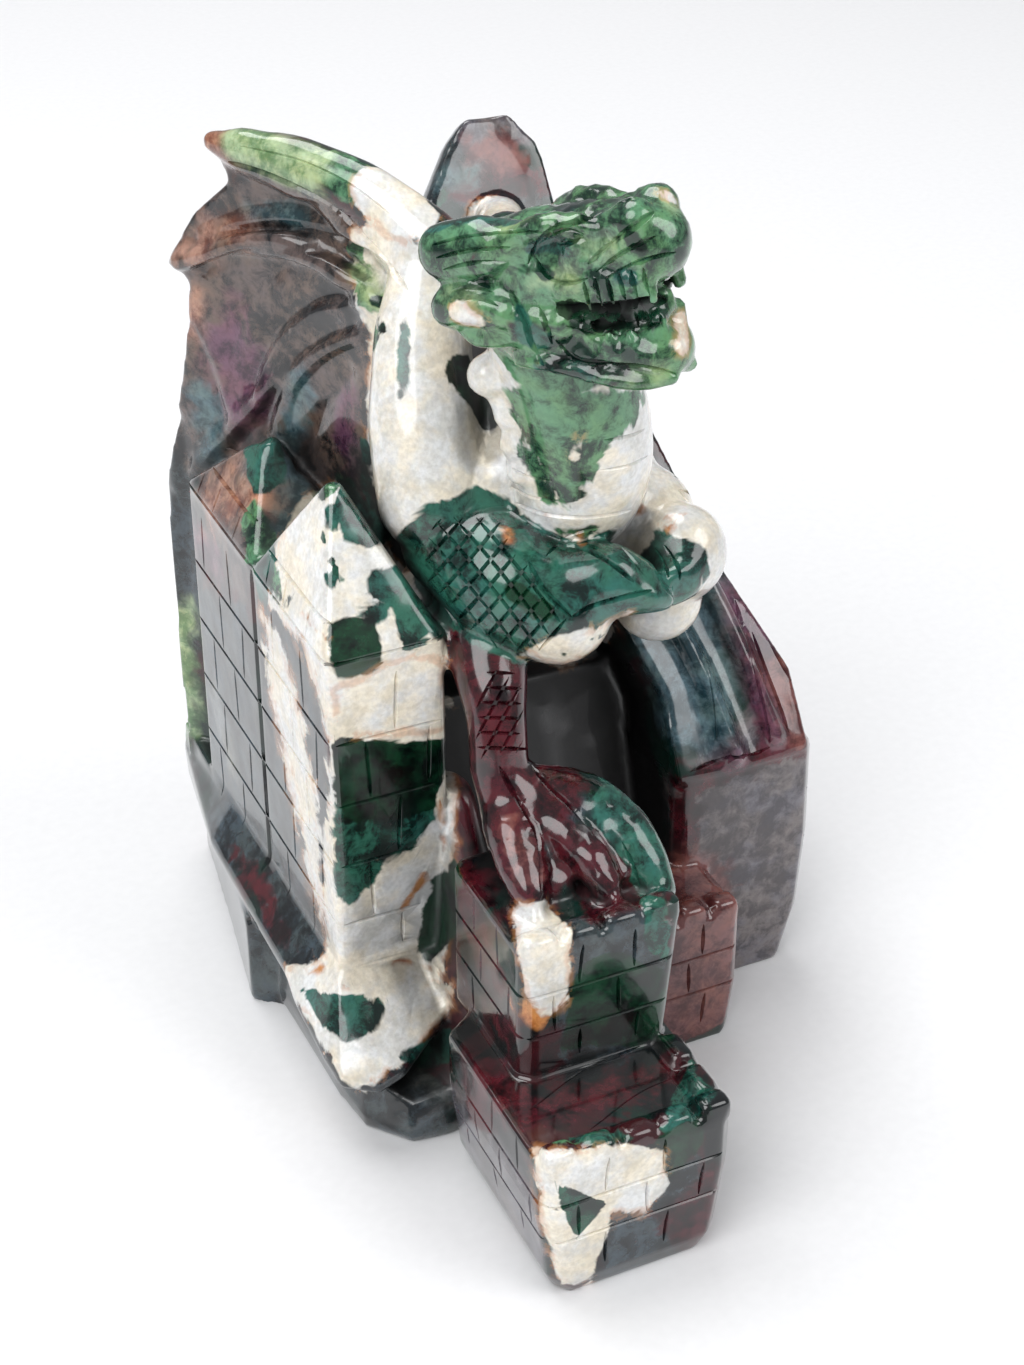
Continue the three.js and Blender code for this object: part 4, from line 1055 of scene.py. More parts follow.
# Lines with a half width in mm. Their places are in the picture, or in the castle's millimetres.
streaks = {
    "slate": [
        ([(-25, -12, 4), (-28, 20, 6), (-27, 50, 6)], 9), ([(-30, -6, 10), (-30, 30, 12)], 4),
        ([(185, 430), (188, 560), (182, 640)], 4), ([(435, 190), (450, 150)], 3),
        ([(-4, -20, 47), (-1, -17, 50)], 3.5), ([(210, 560), (215, 620)], 4),
        ([(470, 190), (530, 190)], 3),
        ([(-26, 12, 64), (-26, 12, 26)], 12), ([(-26, 38, 56), (-26, 38, 26)], 12),
    ],
    "mist": [
        ([(500, 118), (515, 122)], 3), ([(44, -1, 14), (46, -1, 4)], 4), ([(216, 700), (232, 760)], 3),
        ([(-22, -8, 10), (-14, -12, 8)], 4),
    ],
    "mauve": [
        ([(36, -1, 32), (37, -1, 6)], 12), ([(-18, -40, 10), (-18, -24, 10)], 7),
        ([(30, 20, 72), (36, 10, 56)], 4),
    ],
    "maroon": [
        ([(-3.6, 3, 68), (-6, -8.5, 60), (-5, -13, 52)], 7.4), ([(-8, -14, 50), (-8.4, -24, 45)], 4.4),
        ([(-4, -12, 50), (-0.8, -22, 47)], 3.6), ([(-9, -8, 4), (-8.5, -7, 20), (-8, 2, 42)], 8.5),
        ([(-14, -38, 24), (4, -38, 24)], 3), ([(-13.5, -26, 30), (-13.5, -16, 40)], 5),
        ([(600, 880), (640, 890)], 1.8), ([(26, -1, 37), (46, -1.5, 38)], 2.0),
        ([(26, -1, 32), (26, -1, 22)], 2.6), ([(345, 440), (340, 470)], 4),
        ([(480, 170), (530, 178)], 2.2), ([(-26, 34, 64), (-26, 46, 60)], 4),
        ([(2, 14, 60), (14, 14, 54)], 9),
    ],
    "painted_shade": [
        # Painted shade: near black on the back wall of the hollow under the dragon and on the rock beside
        # it, where shade falls
        ([(-4, 12, 30), (22, 13, 30)], 11), ([(-2, 14, 42), (20, 14, 44)], 7),
        ([(-9, -6, 20), (-8, -4, 34)], 4),
    ],
    "rose": [
        ([(19, -11, 12), (24, -8, 16)], 12.5), ([(42, 10, 54), (45, 0, 42)], 4.6),
        ([(-8, -17, 50), (-8.2, -22, 48)], 1.6), ([(475, 150), (500, 145), (530, 160)], 1.6),
    ],
    "membrane": [
        ([(250, 215), (330, 275)], 9), ([(215, 320), (345, 330)], 10), ([(220, 420), (345, 430)], 10),
        ([(-18, 48, 80), (-12, 34, 80)], 10), ([(700, 600), (690, 700)], 3),
    ],
    "plum_and_glow": [
        # Partly the stone's purple, partly painted light: a glow as if lit through the thin wing, and
        # painted highlight along the left wing's finger ridges
        ([(235, 325), (250, 400)], 2.6), ([(348, 395), (346, 450)], 1.8),
        ([(31, 6.4, 51), (33.8, -0.8, 39)], 1.2),
        ([(37, 9, 55), (40.4, -0.2, 40)], 1.2), ([(730, 600), (760, 640)], 2.2),
        ([(200, 540), (215, 560)], 3),
    ],
    "sea": [
        ([(29, 14, 62), (30, 3, 46)], 6.5), ([(205, 400), (215, 460)], 2.4),
        ([(262, 470), (290, 520)], 5),
        ([(250, 215), (300, 218)], 1.0), ([(300, 380), (290, 440)], 1.6),
    ],
    "lime": [
        ([(236, 142), (280, 156), (312, 170)], 2.8), ([(176, 690), (182, 730)], 2.6),
        ([(150, 262), (172, 268)], 1.4),
        ([(806, 860), (796, 940)], 1.6), ([(668, 202), (684, 208)], 1.0),
        ([(360, 270), (380, 300)], 1.2),
        (headPlaces((12, -4.4, 4.6), (15, -4.2, 4)), 1.0), (headPlaces((5, -6, 1.4), (9, -5.6, 1)), 0.9),
        (headPlaces((2, -5, 8), (5, -4, 8.6)), 1.2), (headPlaces((12, -4.4, -11), (15, -3, -11.6)), 0.8),
        (headPlaces((-6, -7.6, 0.4), (-3, -8, 0)), 0.8),
    ],
    "salmon": [
        ([(210, 134), (222, 156)], 2.4), ([(182, 250), (200, 260)], 1.4),
        ([(196, 300), (192, 330)], 1.0),
        ([(-22, 30, 78), (-24, 36, 74)], 2.4), ([(250, 232), (205, 232)], 1.2),
    ],
    "cream": [
        ([(395, 205), (425, 240)], 4.6), ([(385, 260), (398, 330), (385, 430), (400, 490)], 4.8),
        ([(-6, 8, 84), (-4, 15, 98), (-1, 20, 107)], 8.2), ([(7, 8, 86), (6, 16, 84)], 12.5),
        ([(8, -3, 84), (8, -4, 98), (5, -4, 109)], 10), ([(18, 9, 82), (14, 18, 100)], 7.6),
        ([(21, 3, 77), (22, -3, 76), (20, -1.5, 69)], 9.4), ([(640, 520), (600, 512)], 3),
        ([(487, 372), (505, 405), (508, 435), (512, 465)], 3), ([(12, 28, 103), (17, 40, 105)], 5.2),
        ([(455, 370), (430, 330)], 3),
    ],
    "teal": [
        ([(-5, 4, 79), (-1, -2, 76), (4, -7, 74)], 8.8),
        ([(4, -7, 75), (9, -9, 77), (15, -10, 75.6)], 6.8),
        ([(4.4, -17, 50), (7.4, -22, 46.5), (8.6, -27, 42)], 3.6), ([(330, 512), (332, 520)], 1.2),
        ([(330, 576), (333, 580)], 0.9), ([(366, 612), (372, 622)], 1.3), ([(258, 445), (266, 470)], 3),
        ([(405, 322), (402, 392)], 0.7), ([(365, 440), (367, 490)], 1.0),
        ([(268, 560), (262, 590)], 2.4),
        (headPlaces((-9, -5.5, 8.6), (0, -5, 8.4), (8, -2, 8.4)), 1.9),
        (headPlaces((5, -5, 5), (9, -5, 4.6)), 1.3),
        (headPlaces((1, -6, -3), (3, -6, -6)), 1.6), (headPlaces((10, -4, 0.4), (16, -4, 0)), 1.0),
        (headPlaces((2, -5, -9), (8, -5, -10)), 1.4), (headPlaces((16, -3, 6), (18, -3, 2)), 1.0),
    ],
    "moss": [
        (headPlaces((-9, 0, 5), (2, 0, 3), (10, 0, 3), (18, 0, 3)), 9.4),
        (headPlaces((0, 0, -7), (8, 0, -8), (16, 0, -10)), 6.8),
        (headPlaces((-6, -7, -1), (-3, -7, -2)), 4),
        (headPlaces((-6, 7, -1), (-3, 7, -2)), 4), (headPlaces((-9, -5.5, 6), (-4, -5.5, 6)), 5),
        (headPlaces((-9, 5.5, 6), (-4, 5.5, 6)), 5), ([(330, 168), (356, 182)], 2.8),
        ([(590, 532), (560, 530)], 1.2), ([(356, 250), (366, 300), (374, 340)], 1.2),
        ([(262, 545), (250, 520)], 2),
        ([(560, 1140), (600, 1134)], 1.0), ([(518, 398), (516, 412)], 1.0),
        ([(528, 455), (536, 470)], 1.4),
        ([(545, 490), (548, 500)], 1.0), ([(600, 442), (612, 425)], 1.4),
    ],
    "pine_and_shade": [
        # The first line is painted shade, laid in the dark gap beside the neck; the rest is the dark green
        # stone
        ([(462, 372), (478, 400), (486, 415)], 2.6), ([(-2, -32, 34), (4, -32, 28)], 5.5),
        ([(376, 300), (384, 330)], 0.6),
        (headPlaces((16, -2, -4.4), (8, -3.4, -4.2)), 2.3),
        (headPlaces((4, -5, -9), (12, -4, -11)), 1.2),
        ([(500, 215), (470, 218)], 1.2), ([(625, 230), (640, 250)], 1.0),
        ([(515, 590), (540, 610)], 1.4),
        (headPlaces((-9, -5, 8.6), (-2, -5, 8.4)), 1.4), (headPlaces((2, -5.6, 3), (6, -5.4, 2)), 1.2),
    ],
    "rust": [
        ([(545, 515), (640, 511)], 0.3), ([(292, 964), (322, 970)], 0.5),
        ([(330, 640), (300, 610)], 0.3),
        ([(405, 905), (424, 876)], 0.4), ([(505, 528), (508, 540)], 0.4),
        ([(578, 535), (582, 544)], 0.5),
        ([(546, 1012), (560, 1000)], 0.5), ([(568, 1284), (582, 1288)], 0.5),
        ([(560, 650), (562, 656)], 0.1),
        ([(272, 585), (262, 612)], 0.5), ([(530, 1150), (550, 1152)], 0.3),
        ([(670, 518), (672, 530)], 0.3),
        ([(396, 962), (430, 968)], 0.3), ([(378, 860), (384, 880)], 0.2),
        ([(440, 800), (444, 850)], 0.3),
    ],
    "ivory": [
        ([(458, 314), (476, 322)], 1.4), ([(681, 318), (684, 345), (682, 374)], 1.0),
        ([(692, 286), (694, 300)], 1.0),
        ([(660, 193), (672, 198)], 0.5), ([(668, 520), (690, 520)], 0.6),
        ([(378, 190), (396, 202), (410, 214)], 3.6), ([(580, 436), (574, 462)], 0.3),
    ],
    "spruce": [
        ([(450, 190), (440, 205)], 0.8), ([(560, 1138), (600, 1132)], 0.7),
        ([(590, 640), (604, 634)], 0.5),
        ([(320, 530), (324, 540)], 0.5), ([(332, 560), (336, 572)], 0.6),
        ([(560, 652), (566, 656)], 0.3),
    ],
}

# Areas outlined in the picture. They run a little way into the stone behind what is seen there.
areas = {
    "slate": [
        [(560, 920), (660, 900), (664, 1000), (630, 1060), (560, 1050)],
        [(600, 1200), (700, 1150), (720, 1220), (640, 1290), (590, 1290)],
    ],
    "mauve": [[(476, 106), (524, 106), (540, 150), (456, 156)]],
    "mist": [[(720, 780), (800, 770), (800, 930), (740, 940)]],
    "rose": [
        [(182, 264), (228, 204), (300, 204), (352, 240), (300, 250), (240, 262), (200, 300)],
        [(452, 158), (540, 150), (540, 166), (456, 176)],
    ],
    "maroon": [
        [(446, 182), (545, 176), (545, 198), (442, 204)],
        [(560, 870), (650, 850), (660, 905), (590, 925)],
        [(650, 1215), (730, 1150), (735, 1230), (690, 1262)],
        [(462, 1050), (530, 1075), (540, 1130), (470, 1130)],
        [(232, 850), (262, 870), (300, 960), (270, 940)],
        [(745, 640), (800, 660), (815, 745), (760, 750)],
    ],
    "membrane": [[(205, 520), (245, 450), (262, 520), (250, 600), (205, 590)]],
    # the same purple, partly a painted glow of light through the wing
    "plum_and_glow": [[(205, 330), (240, 300), (262, 380), (240, 440), (210, 400)]],
    "salmon": [[(205, 500), (236, 455), (240, 470), (212, 530)]],
    "cream": [
        [(276, 545), (300, 500), (335, 478), (365, 505), (395, 560), (440, 600), (453, 700), (456, 860),
         (442, 985),
         (330, 985), (322, 900), (330, 740), (300, 640), (262, 600)],
        [(262, 612), (285, 650), (304, 720), (318, 800), (324, 930), (308, 880), (288, 770), (268, 690)],
        [(350, 228), (378, 232), (392, 300), (394, 480), (370, 484), (364, 420), (372, 350), (356, 300)],
        [(284, 965), (332, 958), (345, 985), (400, 975), (452, 985), (452, 1010), (420, 1045),
         (395, 1068),
         (366, 1090), (342, 1078), (326, 1050), (300, 1010)],
    ],
    "teal": [
        [(338, 480), (352, 484), (375, 510), (392, 540), (370, 548), (345, 540), (336, 505)],
        [(362, 572), (420, 562), (424, 612), (395, 612), (368, 596)],
        [(392, 612), (426, 600), (430, 655), (400, 650)],
        [(400, 540), (448, 600), (448, 640), (432, 640), (420, 600)],
        [(333, 796), (440, 806), (425, 842), (388, 862), (354, 905), (338, 905), (333, 850)],
        [(302, 990), (386, 1000), (378, 1030), (350, 1046), (322, 1025)],
        [(640, 890), (668, 900), (668, 960), (648, 950)],
        [(655, 530), (704, 545), (712, 575), (680, 588), (655, 562)],
        [(690, 1060), (715, 1090), (690, 1140), (660, 1130)],
        [(400, 1056), (452, 1022), (452, 1060), (420, 1070)],
        [(566, 1140), (600, 1128), (640, 1140), (600, 1152)],
    ],
    "lime": [[(168, 610), (190, 600), (200, 735), (178, 738)]],
    "sea": [[(440, 168), (480, 164), (480, 184), (436, 190)],
            [(248, 440), (264, 450), (322, 500), (300, 520), (276, 545), (250, 520)]],
    "spruce": [[(553, 1180), (606, 1202), (576, 1242)]],
    "moss": [
        [(312, 492), (338, 474), (350, 484), (332, 496), (320, 506)],
        [(250, 540), (270, 545), (288, 600), (282, 608), (262, 585), (248, 560)],
        [(506, 385), (548, 380), (600, 395), (645, 392), (638, 420), (604, 446), (590, 480), (574, 506),
         (560, 500),
         (540, 470), (520, 432)],
        [(336, 742), (420, 748), (410, 790), (345, 800)],
    ],
    "pine_and_shade": [
        [(326, 622), (372, 615), (384, 655), (386, 676), (340, 680), (328, 655)],
        [(333, 738), (420, 742), (452, 735), (450, 765), (438, 790), (436, 808), (345, 828), (333, 800)],
        [(440, 870), (460, 850), (458, 930), (430, 965), (418, 955), (425, 905)],
        [(640, 1150), (712, 1105), (700, 1150), (650, 1200)],
        [(572, 985), (650, 985), (640, 1040), (560, 1050)],
    ],
    "rust": [[(508, 1000), (548, 1000), (548, 1030), (530, 1030)]],
    "ivory": [
        [(512, 905), (545, 902), (572, 932), (568, 1004), (545, 1020), (528, 1000), (518, 950)],
        [(532, 1146), (560, 1152), (620, 1142), (665, 1152), (668, 1188), (640, 1216), (612, 1212),
         (602, 1250),
         (586, 1288), (562, 1284), (542, 1230)],
        [(536, 644), (600, 626), (632, 612), (600, 650), (562, 668), (520, 656)],
        [(336, 690), (392, 660), (440, 655), (450, 730), (338, 736)],
    ],
}
areaDepth = {"before": 6.0, "behind": 9.0}   # mm in front of and behind what is seen


# how far inside an outline each pixel is, in pixels
def insideBy(pixels, outline):
    outline = np.array(outline, float)
    best = np.full(len(pixels), 1e9)
    within = np.zeros(len(pixels), bool)
    x, y = pixels[:, 0], pixels[:, 1]
    for p, q in zip(outline, np.roll(outline, -1, axis=0)):
        pq = q - p
        t = np.clip((pixels - p) @ pq / max(pq @ pq, 1e-9), 0, 1)
        best = np.minimum(best, np.linalg.norm(pixels - p - t[:, None] * pq, axis=1))
        crossing = (p[1] > y) != (q[1] > y)
        rise = q[1] - p[1] if q[1] != p[1] else 1e-9
        within ^= crossing & (x < p[0] + (y - p[1]) * pq[0] / rise)
    return np.where(within, best, -best)


def areaField(points, outline):
    away = points - view["at"]
    depth = away @ viewForward
    pixels = np.stack([view["width"] / 2 + view["focal"] * (away @ viewRight) / depth,
                       view["height"] / 2 - view["focal"] * (away @ viewUp) / depth], axis=1)
    seen = [landing(photoRay, *place) for place in outline + [tuple(np.mean(outline, axis=0))]]
    depths = [(hit[0] - view["at"]) @ viewForward for hit in seen if hit is not None]
    field = insideBy(pixels, outline) / view["pixelsPerMm"]
    near, far = min(depths) - areaDepth["before"], np.percentile(depths, 80) + areaDepth["behind"]
    return np.minimum(field, np.minimum(depth - near, far - depth))


hollows = {
    "rays": 12,
    "reach": 30.0,            # mm that a ray may run before it meets stone
    "start": 0.8,             # mm above the skin where it starts
    "turn": 2.39996,          # the golden angle, which spreads the rays evenly
}


# How closed in each place is, from 0 in the open to 1: the share of rays that soon meet stone
def hollowness(data):
    points = readPoints(data)
    normals = readNormals(data).astype(float)
    turns = np.arange(hollows["rays"]) * hollows["turn"]
    heights = (np.arange(hollows["rays"]) + 0.5) / hollows["rays"]
    ball = np.stack([np.cos(turns) * np.sqrt(1 - heights ** 2),
                     np.sin(turns) * np.sqrt(1 - heights ** 2),
                     heights], axis=1)
    helper = np.where(np.abs(normals[:, 2:]) < 0.9, [[0.0, 0.0, 1.0]], [[1.0, 0.0, 0.0]])
    side = np.cross(helper, normals)
    side /= np.maximum(np.linalg.norm(side, axis=1), 1e-6)[:, None]
    other = np.cross(normals, side)
    starts = points + normals * hollows["start"]
    met = np.zeros(len(points))
    for a, b, c in ball:
        ways = side * a + other * b + normals * c
        for i in range(len(points)):
            if tree.ray_cast(Vector(starts[i]), Vector(ways[i]), hollows["reach"])[0] is not None:
                met[i] += 1
    return met / hollows["rays"]


# Lays out the stone's patches, the painted shade and glow among them, and the hollow measure used for
# painted shade
def paintStoneAndShade(data):
    points = readPoints(data)
    layer = data.attributes.new("hollow", "FLOAT", "POINT")
    layer.data.foreach_set("value", hollowness(data).astype(np.float32))
    for name, dark, light, ragged, soft in stones:
        field = np.full(len(points), -12.0)
        for outline in areas.get(name, []):
            field = np.maximum(field, areaField(points, outline))
        for line, half in streaks[name]:
            spots = [np.array(place, float) if len(place) == 3 else landing(photoRay,
                                                                            *place) for place in line]
            spots = [s[0] if isinstance(s, tuple) else s for s in spots if s is not None]
            if not spots:
                print("no stone under", name, line)
                continue
            if len(spots) == 1:
                spots = spots * 2
            field = np.maximum(field, half - distanceToLine(points, spots))
        layer = data.attributes.new(name, "FLOAT", "POINT")
        layer.data.foreach_set("value", field.astype(np.float32))


paintStoneAndShade(piece.data)
print("stone laid out")


# Materials

def socket(group, name, kind, way, value=None):
    made = group.interface.new_socket(name=name, in_out=way, socket_type=kind)
    if value is not None:
        made.default_value = value
    return made


class Wiring:
    def __init__(self, tree):
        self.tree = tree
        self.column = 0

    def node(self, kind, inputs=None, **settings):
        made = self.tree.nodes.new(kind)
        self.column += 1
        made.location = (160 * (self.column % 12), -180 * (self.column // 12))
        for key, value in settings.items():
            setattr(made, key, value)
        for key, value in (inputs or {}).items():
            if isinstance(value, bpy.types.NodeSocket):
                self.tree.links.new(value, made.inputs[key])
            else:
                made.inputs[key].default_value = value
        return made

    def math(self, kind, a, b=0.0, clamp=False):
        return self.node("ShaderNodeMath", {0: a, 1: b}, operation=kind, use_clamp=clamp).outputs[0]

    def mix(self, factor, a, b):
        made = self.node("ShaderNodeMix", data_type="RGBA")
        for key, value in ((0, factor), (6, a), (7, b)):
            if isinstance(value, bpy.types.NodeSocket):
                self.tree.links.new(value, made.inputs[key])
            else:
                made.inputs[key].default_value = value
        return made.outputs[2]

    def ramp(self, value, low, high):
        return self.node("ShaderNodeMapRange", {"Value": value, "From Min": low, "From Max": high},
                         interpolation_type="SMOOTHSTEP").outputs[0]


# One kind of stone over what lies under it, with a ragged, crisp edge
def makePatchGroup():
    group = bpy.data.node_groups.new("stonePatch", "ShaderNodeTree")
    socket(group, "Under", "NodeSocketColor", "INPUT")
    socket(group, "Dark", "NodeSocketColor", "INPUT")
    socket(group, "Light", "NodeSocketColor", "INPUT")
    socket(group, "Field", "NodeSocketFloat", "INPUT", 0.0)
    socket(group, "Ragged", "NodeSocketFloat", "INPUT", 2.0)
    socket(group, "Edge", "NodeSocketFloat", "INPUT", 0.5)
    socket(group, "Mottle", "NodeSocketFloat", "INPUT", 0.5)
    socket(group, "Softness", "NodeSocketFloat", "INPUT", 0.3)
    socket(group, "Rim", "NodeSocketFloat", "INPUT", 0.0)
    socket(group, "Rim Colour", "NodeSocketColor", "INPUT")
    socket(group, "Colour", "NodeSocketColor", "OUTPUT")
    w = Wiring(group)
    given = w.node("NodeGroupInput").outputs
    centred = w.math("SUBTRACT", given["Edge"], 0.5)
    push = w.math("MULTIPLY", centred, given["Ragged"])
    place = w.math("ADD", given["Field"], push)
    mask = w.node("ShaderNodeMapRange",
                  {"Value": place, "From Min": w.math("MULTIPLY", given["Softness"], -1.0),
                   "From Max": given["Softness"]}, interpolation_type="SMOOTHSTEP").outputs[0]
    tone = w.mix(given["Mottle"], given["Dark"], given["Light"])
    nearEdge = w.math("SUBTRACT", 1.0, w.ramp(w.math("ABSOLUTE", place), 0.15, 0.9))
    rim = w.math("MULTIPLY", w.math("MULTIPLY", nearEdge, given["Rim"]),
                 w.ramp(given["Mottle"], 0.35, 0.8))
    out = w.node("NodeGroupOutput")
    group.links.new(w.mix(rim, w.mix(mask, given["Under"], tone), given["Rim Colour"]),
                    out.inputs["Colour"])
    return group


# Banded stone for the places with no patch of their own
def makeBandGroup():
    group = bpy.data.node_groups.new("bandedStone", "ShaderNodeTree")
    socket(group, "Place", "NodeSocketVector", "INPUT")
    for name in ("Deep", "Green", "Red", "Pale"):
        socket(group, name, "NodeSocketColor", "INPUT")
    socket(group, "Size", "NodeSocketFloat", "INPUT", 40.0)
    socket(group, "Colour", "NodeSocketColor", "OUTPUT")
    w = Wiring(group)
    given = w.node("NodeGroupInput").outputs
    broad = w.node("ShaderNodeTexNoise",
                   {"Vector": given["Place"], "Scale": given["Size"], "Detail": 5.0,
                                           "Roughness": 0.6, "Distortion": 1.2}).outputs["Fac"]
    moved = w.node("ShaderNodeVectorMath", {0: given["Place"], 1: (3.1, 1.7, 0.4)},
                   operation="ADD").outputs[0]
    other = w.node("ShaderNodeTexNoise", {"Vector": moved, "Scale": given["Size"], "Detail": 6.0,
                                           "Roughness": 0.62, "Distortion": 1.6}).outputs["Fac"]
    base = w.mix(w.ramp(broad, 0.44, 0.54), given["Deep"], given["Green"])
    base = w.mix(w.ramp(other, 0.52, 0.57), base, given["Red"])
    base = w.mix(w.ramp(w.math("MULTIPLY", broad, other), 0.345, 0.36), base, given["Pale"])
    out = w.node("NodeGroupOutput")
    group.links.new(base, out.inputs["Colour"])
    return group


finish = {
    "roughness": 0.16,
    "coat": 0.6,
    "coatRoughness": 0.05,
    "subsurface": 0.04,
    "rim": 0.42,  # rusty stain along the pale stone's edges
    "drift": 0.22,  # how far the stone's tone drifts between warm and cool
    "edgeScale": 230.0,  # patterns, per metre
    "mottleScale": 330.0,
    "cloudScale": 90.0,
}


def makeStone():
    material = bpy.data.materials.new("polished_jasper")
    material.use_nodes = True
    tree = material.node_tree
    tree.nodes.clear()
    w = Wiring(tree)
    place = w.node("ShaderNodeTexCoord").outputs["Object"]
    edge = w.node("ShaderNodeTexNoise", {"Vector": place, "Scale": finish["edgeScale"], "Detail": 3.0,
                                          "Roughness": 0.55, "Distortion": 0.8}).outputs["Fac"]
    mottle = w.node("ShaderNodeTexNoise",
                    {"Vector": place, "Scale": finish["mottleScale"], "Detail": 8.0,
                                            "Roughness": 0.72, "Distortion": 0.35}).outputs["Fac"]
    cloud = w.node("ShaderNodeTexNoise", {"Vector": place, "Scale": finish["cloudScale"], "Detail": 3.0,
                                           "Roughness": 0.6, "Distortion": 0.5}).outputs["Fac"]
    mottle = w.ramp(w.math("ADD", w.math("MULTIPLY", mottle, 0.65), w.math("MULTIPLY", cloud, 0.35)),
                    0.42, 0.58)
    grain = w.node("ShaderNodeTexNoise",
                   {"Vector": place, "Scale": 1500.0, "Detail": 3.0}).outputs["Fac"]
    stretched = w.math("ADD", w.math("MULTIPLY", w.math("SUBTRACT", edge, 0.5), 2.4), 0.5)
    base = w.node("ShaderNodeGroup",
                  {"Place": place, "Deep": colour(14, 18, 20), "Green": colour(12, 42, 36),
                                       "Red": colour(58, 20, 26), "Pale": colour(104, 100, 98),
                                       "Size": 38.0}, node_tree=makeBandGroup()).outputs["Colour"]
    patchGroup = makePatchGroup()
    for name, dark, light, ragged, soft in stones:
        field = w.node("ShaderNodeAttribute", attribute_name=name).outputs["Fac"]
        inputs = {"Under": base, "Dark": dark, "Light": light, "Field": field, "Ragged": ragged,
                  "Edge": stretched, "Mottle": mottle, "Softness": soft,
                  "Rim": finish["rim"] if name in ("cream", "ivory") else 0.0, "Rim Colour": colour(198,
                                                                                                    134, 78)}
        base = w.node("ShaderNodeGroup", inputs, node_tree=patchGroup).outputs["Colour"]
    moved = w.node("ShaderNodeVectorMath", {0: place, 1: (0.7, 2.3, 1.1)}, operation="ADD").outputs[0]
    drift = w.node("ShaderNodeTexNoise", {"Vector": moved, "Scale": 150.0, "Detail": 4.0,
                                           "Roughness": 0.6}).outputs["Fac"]
    tint = w.node("ShaderNodeMix", {0: finish["drift"]}, data_type="RGBA", blend_type="MULTIPLY")
    tree.links.new(base, tint.inputs[6])
    tree.links.new(w.mix(w.ramp(drift, 0.38, 0.62), (1.25, 1.06, 0.62, 1), (0.72, 0.94, 1.3, 1)),
                   tint.inputs[7])
    # Painted shade: places closed in by stone are darkened towards near black, and are also made rougher and
    # less coated
    hollow = w.node("ShaderNodeAttribute", attribute_name="hollow").outputs["Fac"]
    deep = w.ramp(hollow, 0.34, 0.72)
    base = w.mix(w.math("MULTIPLY", deep, 0.7), tint.outputs[2], colour(6, 6, 7))
    shade = w.node("ShaderNodeMix", data_type="RGBA", blend_type="MULTIPLY")
    shade.inputs[0].default_value = 0.5
    tree.links.new(base, shade.inputs[6])
    speckle = w.ramp(grain, 0.3, 0.7)
    tree.links.new(w.mix(speckle, (0.72, 0.72, 0.72, 1), (1.05, 1.05, 1.05, 1)), shade.inputs[7])
    ripple = w.node("ShaderNodeTexNoise",
                    {"Vector": place, "Scale": 130.0, "Detail": 2.0}).outputs["Fac"]
    bump = w.node("ShaderNodeBump", {"Height": ripple, "Strength": 0.10, "Distance": 0.002})
    shader = w.node("ShaderNodeBsdfPrincipled", {
        "Base Color": shade.outputs[2],
        "Roughness": w.math("ADD", w.math("MULTIPLY", deep, 0.4), finish["roughness"]),
        "Coat Weight": w.math("MULTIPLY", w.math("SUBTRACT", 1.0, deep), finish["coat"]),
        "Coat Roughness": finish["coatRoughness"],
        "IOR": 1.54,
        "Subsurface Weight": finish["subsurface"],
        "Subsurface Scale": 0.003,
        "Normal": bump.outputs["Normal"],
    })
    out = w.node("ShaderNodeOutputMaterial")
    tree.links.new(shader.outputs[0], out.inputs["Surface"])
    return material


# Into the frame's metres
writePoints(piece.data, (readPoints(piece.data) + shift) / 1000)
piece.data.materials.clear()
piece.data.materials.append(makeStone())
piece.data.polygons.foreach_set("material_index", np.zeros(len(piece.data.polygons), np.int32))
piece.data.shade_smooth()
piece.data.set_sharp_from_angle(angle=math.radians(38))
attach(piece, "root")
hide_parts(node)
print("piece placed")


# Floor, light and camera

studio = {
    "floor": 12.0,
    "world": 0.30,
    "lights": [
        # place, aim, size and power
        ((-0.7, -0.4, 0.85), (0.0, 0.0, 0.06), 0.95, 9.0),
        ((0.55, -0.6, 0.7), (0.0, 0.0, 0.06), 0.7, 4.4),
        ((-0.1, 0.45, 1.0), (0.0, 0.0, 0.06), 0.8, 7.0),
    ],
}


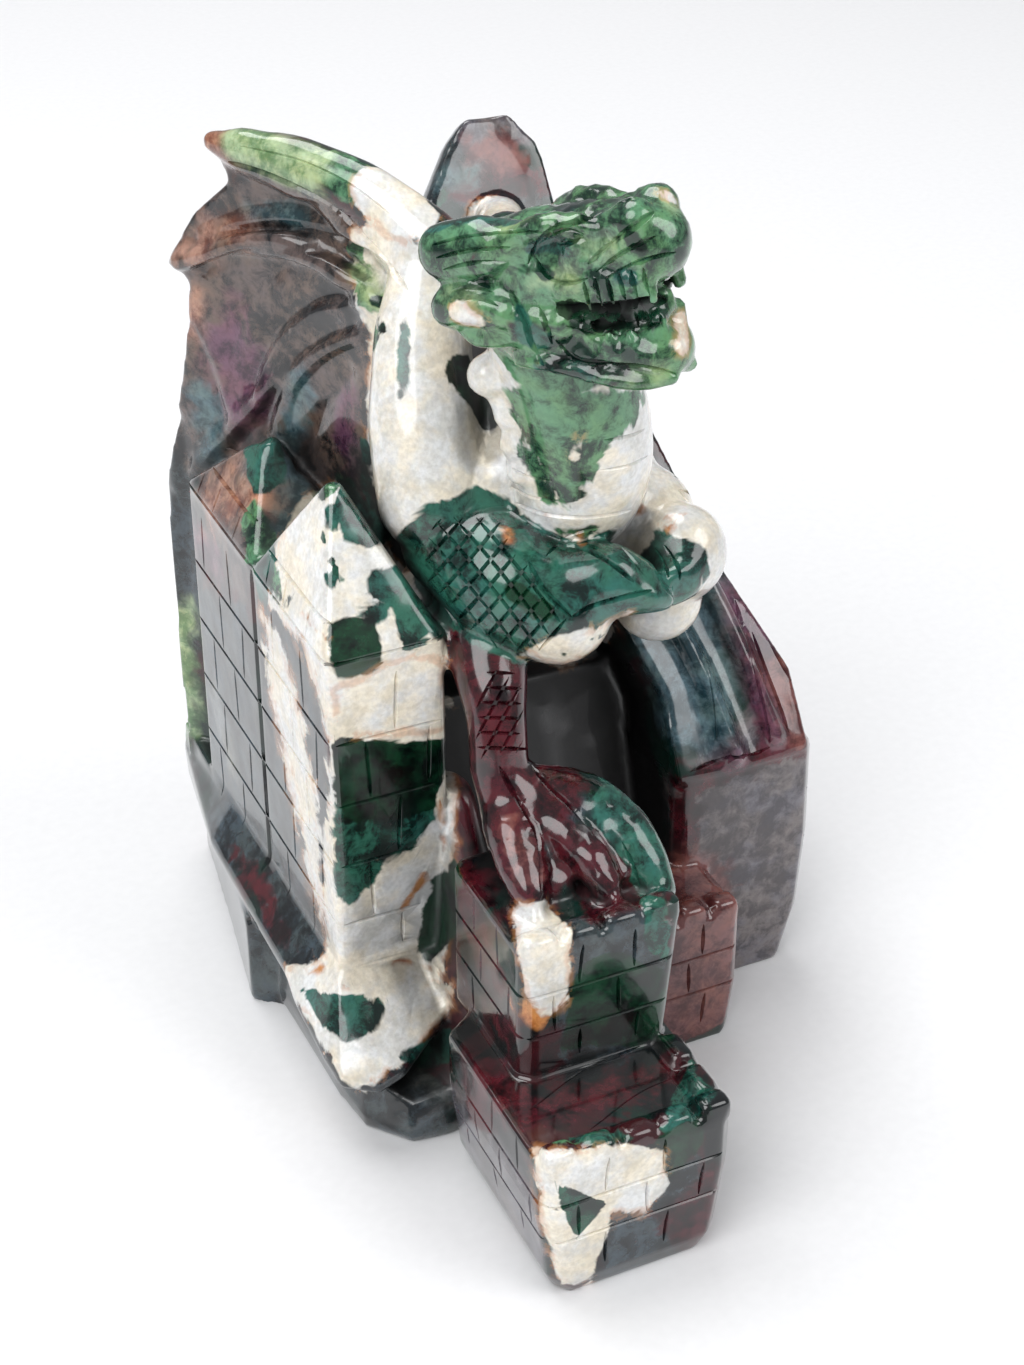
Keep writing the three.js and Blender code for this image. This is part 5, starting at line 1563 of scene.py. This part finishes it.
def buildStudio():
    half = studio["floor"] / 2
    data = bpy.data.meshes.new("floor")
    data.from_pydata([(-half, -half, 0), (half, -half, 0), (half, half, 0), (-half, half, 0)], [],
                     [(0, 1, 2, 3)])
    floor = bpy.data.objects.new("floor", data)
    bpy.context.scene.collection.objects.link(floor)
    paper = bpy.data.materials.new("pale_paper")
    paper.use_nodes = True
    w = Wiring(paper.node_tree)
    place = w.node("ShaderNodeTexCoord").outputs["Object"]
    fibre = w.node("ShaderNodeTexNoise", {"Vector": place, "Scale": 600.0, "Detail": 4.0}).outputs["Fac"]
    shader = paper.node_tree.nodes["Principled BSDF"]
    paper.node_tree.links.new(w.mix(fibre, (0.80, 0.80, 0.81, 1), (0.86, 0.86, 0.87, 1)),
                              shader.inputs["Base Color"])
    shader.inputs["Roughness"].default_value = 0.7
    data.materials.append(paper)
    world = bpy.data.worlds.new("studio")
    bpy.context.scene.world = world
    world.use_nodes = True
    world.node_tree.nodes["Background"].inputs[0].default_value = (0.9, 0.92, 0.95, 1)
    world.node_tree.nodes["Background"].inputs[1].default_value = studio["world"]
    bpy.context.scene.view_settings.view_transform = "Standard"
    for i, (at, aim, size, power) in enumerate(studio["lights"]):
        lamp = bpy.data.lights.new(f"softbox{i}", "AREA")
        lamp.size, lamp.energy, lamp.shape = size, power, "DISK"
        made = bpy.data.objects.new(f"softbox{i}", lamp)
        made.location = at
        made.rotation_euler = (Vector(aim) - Vector(at)).to_track_quat("-Z", "Y").to_euler()
        bpy.context.scene.collection.objects.link(made)


def buildCamera():
    data = bpy.data.cameras.new("photo_camera")
    made = bpy.data.objects.new("photo_camera", data)
    bpy.context.scene.collection.objects.link(made)
    made.location = Vector((view["at"] + shift) / 1000)
    made.rotation_euler = Vector(viewForward).to_track_quat("-Z", "Y").to_euler()
    data.sensor_width = 36.0
    data.lens = view["focal"] * data.sensor_width / view["height"]
    data.clip_start, data.clip_end = 0.01, 20.0
    bpy.context.scene.camera = made


buildStudio()
buildCamera()
print("scene ready")
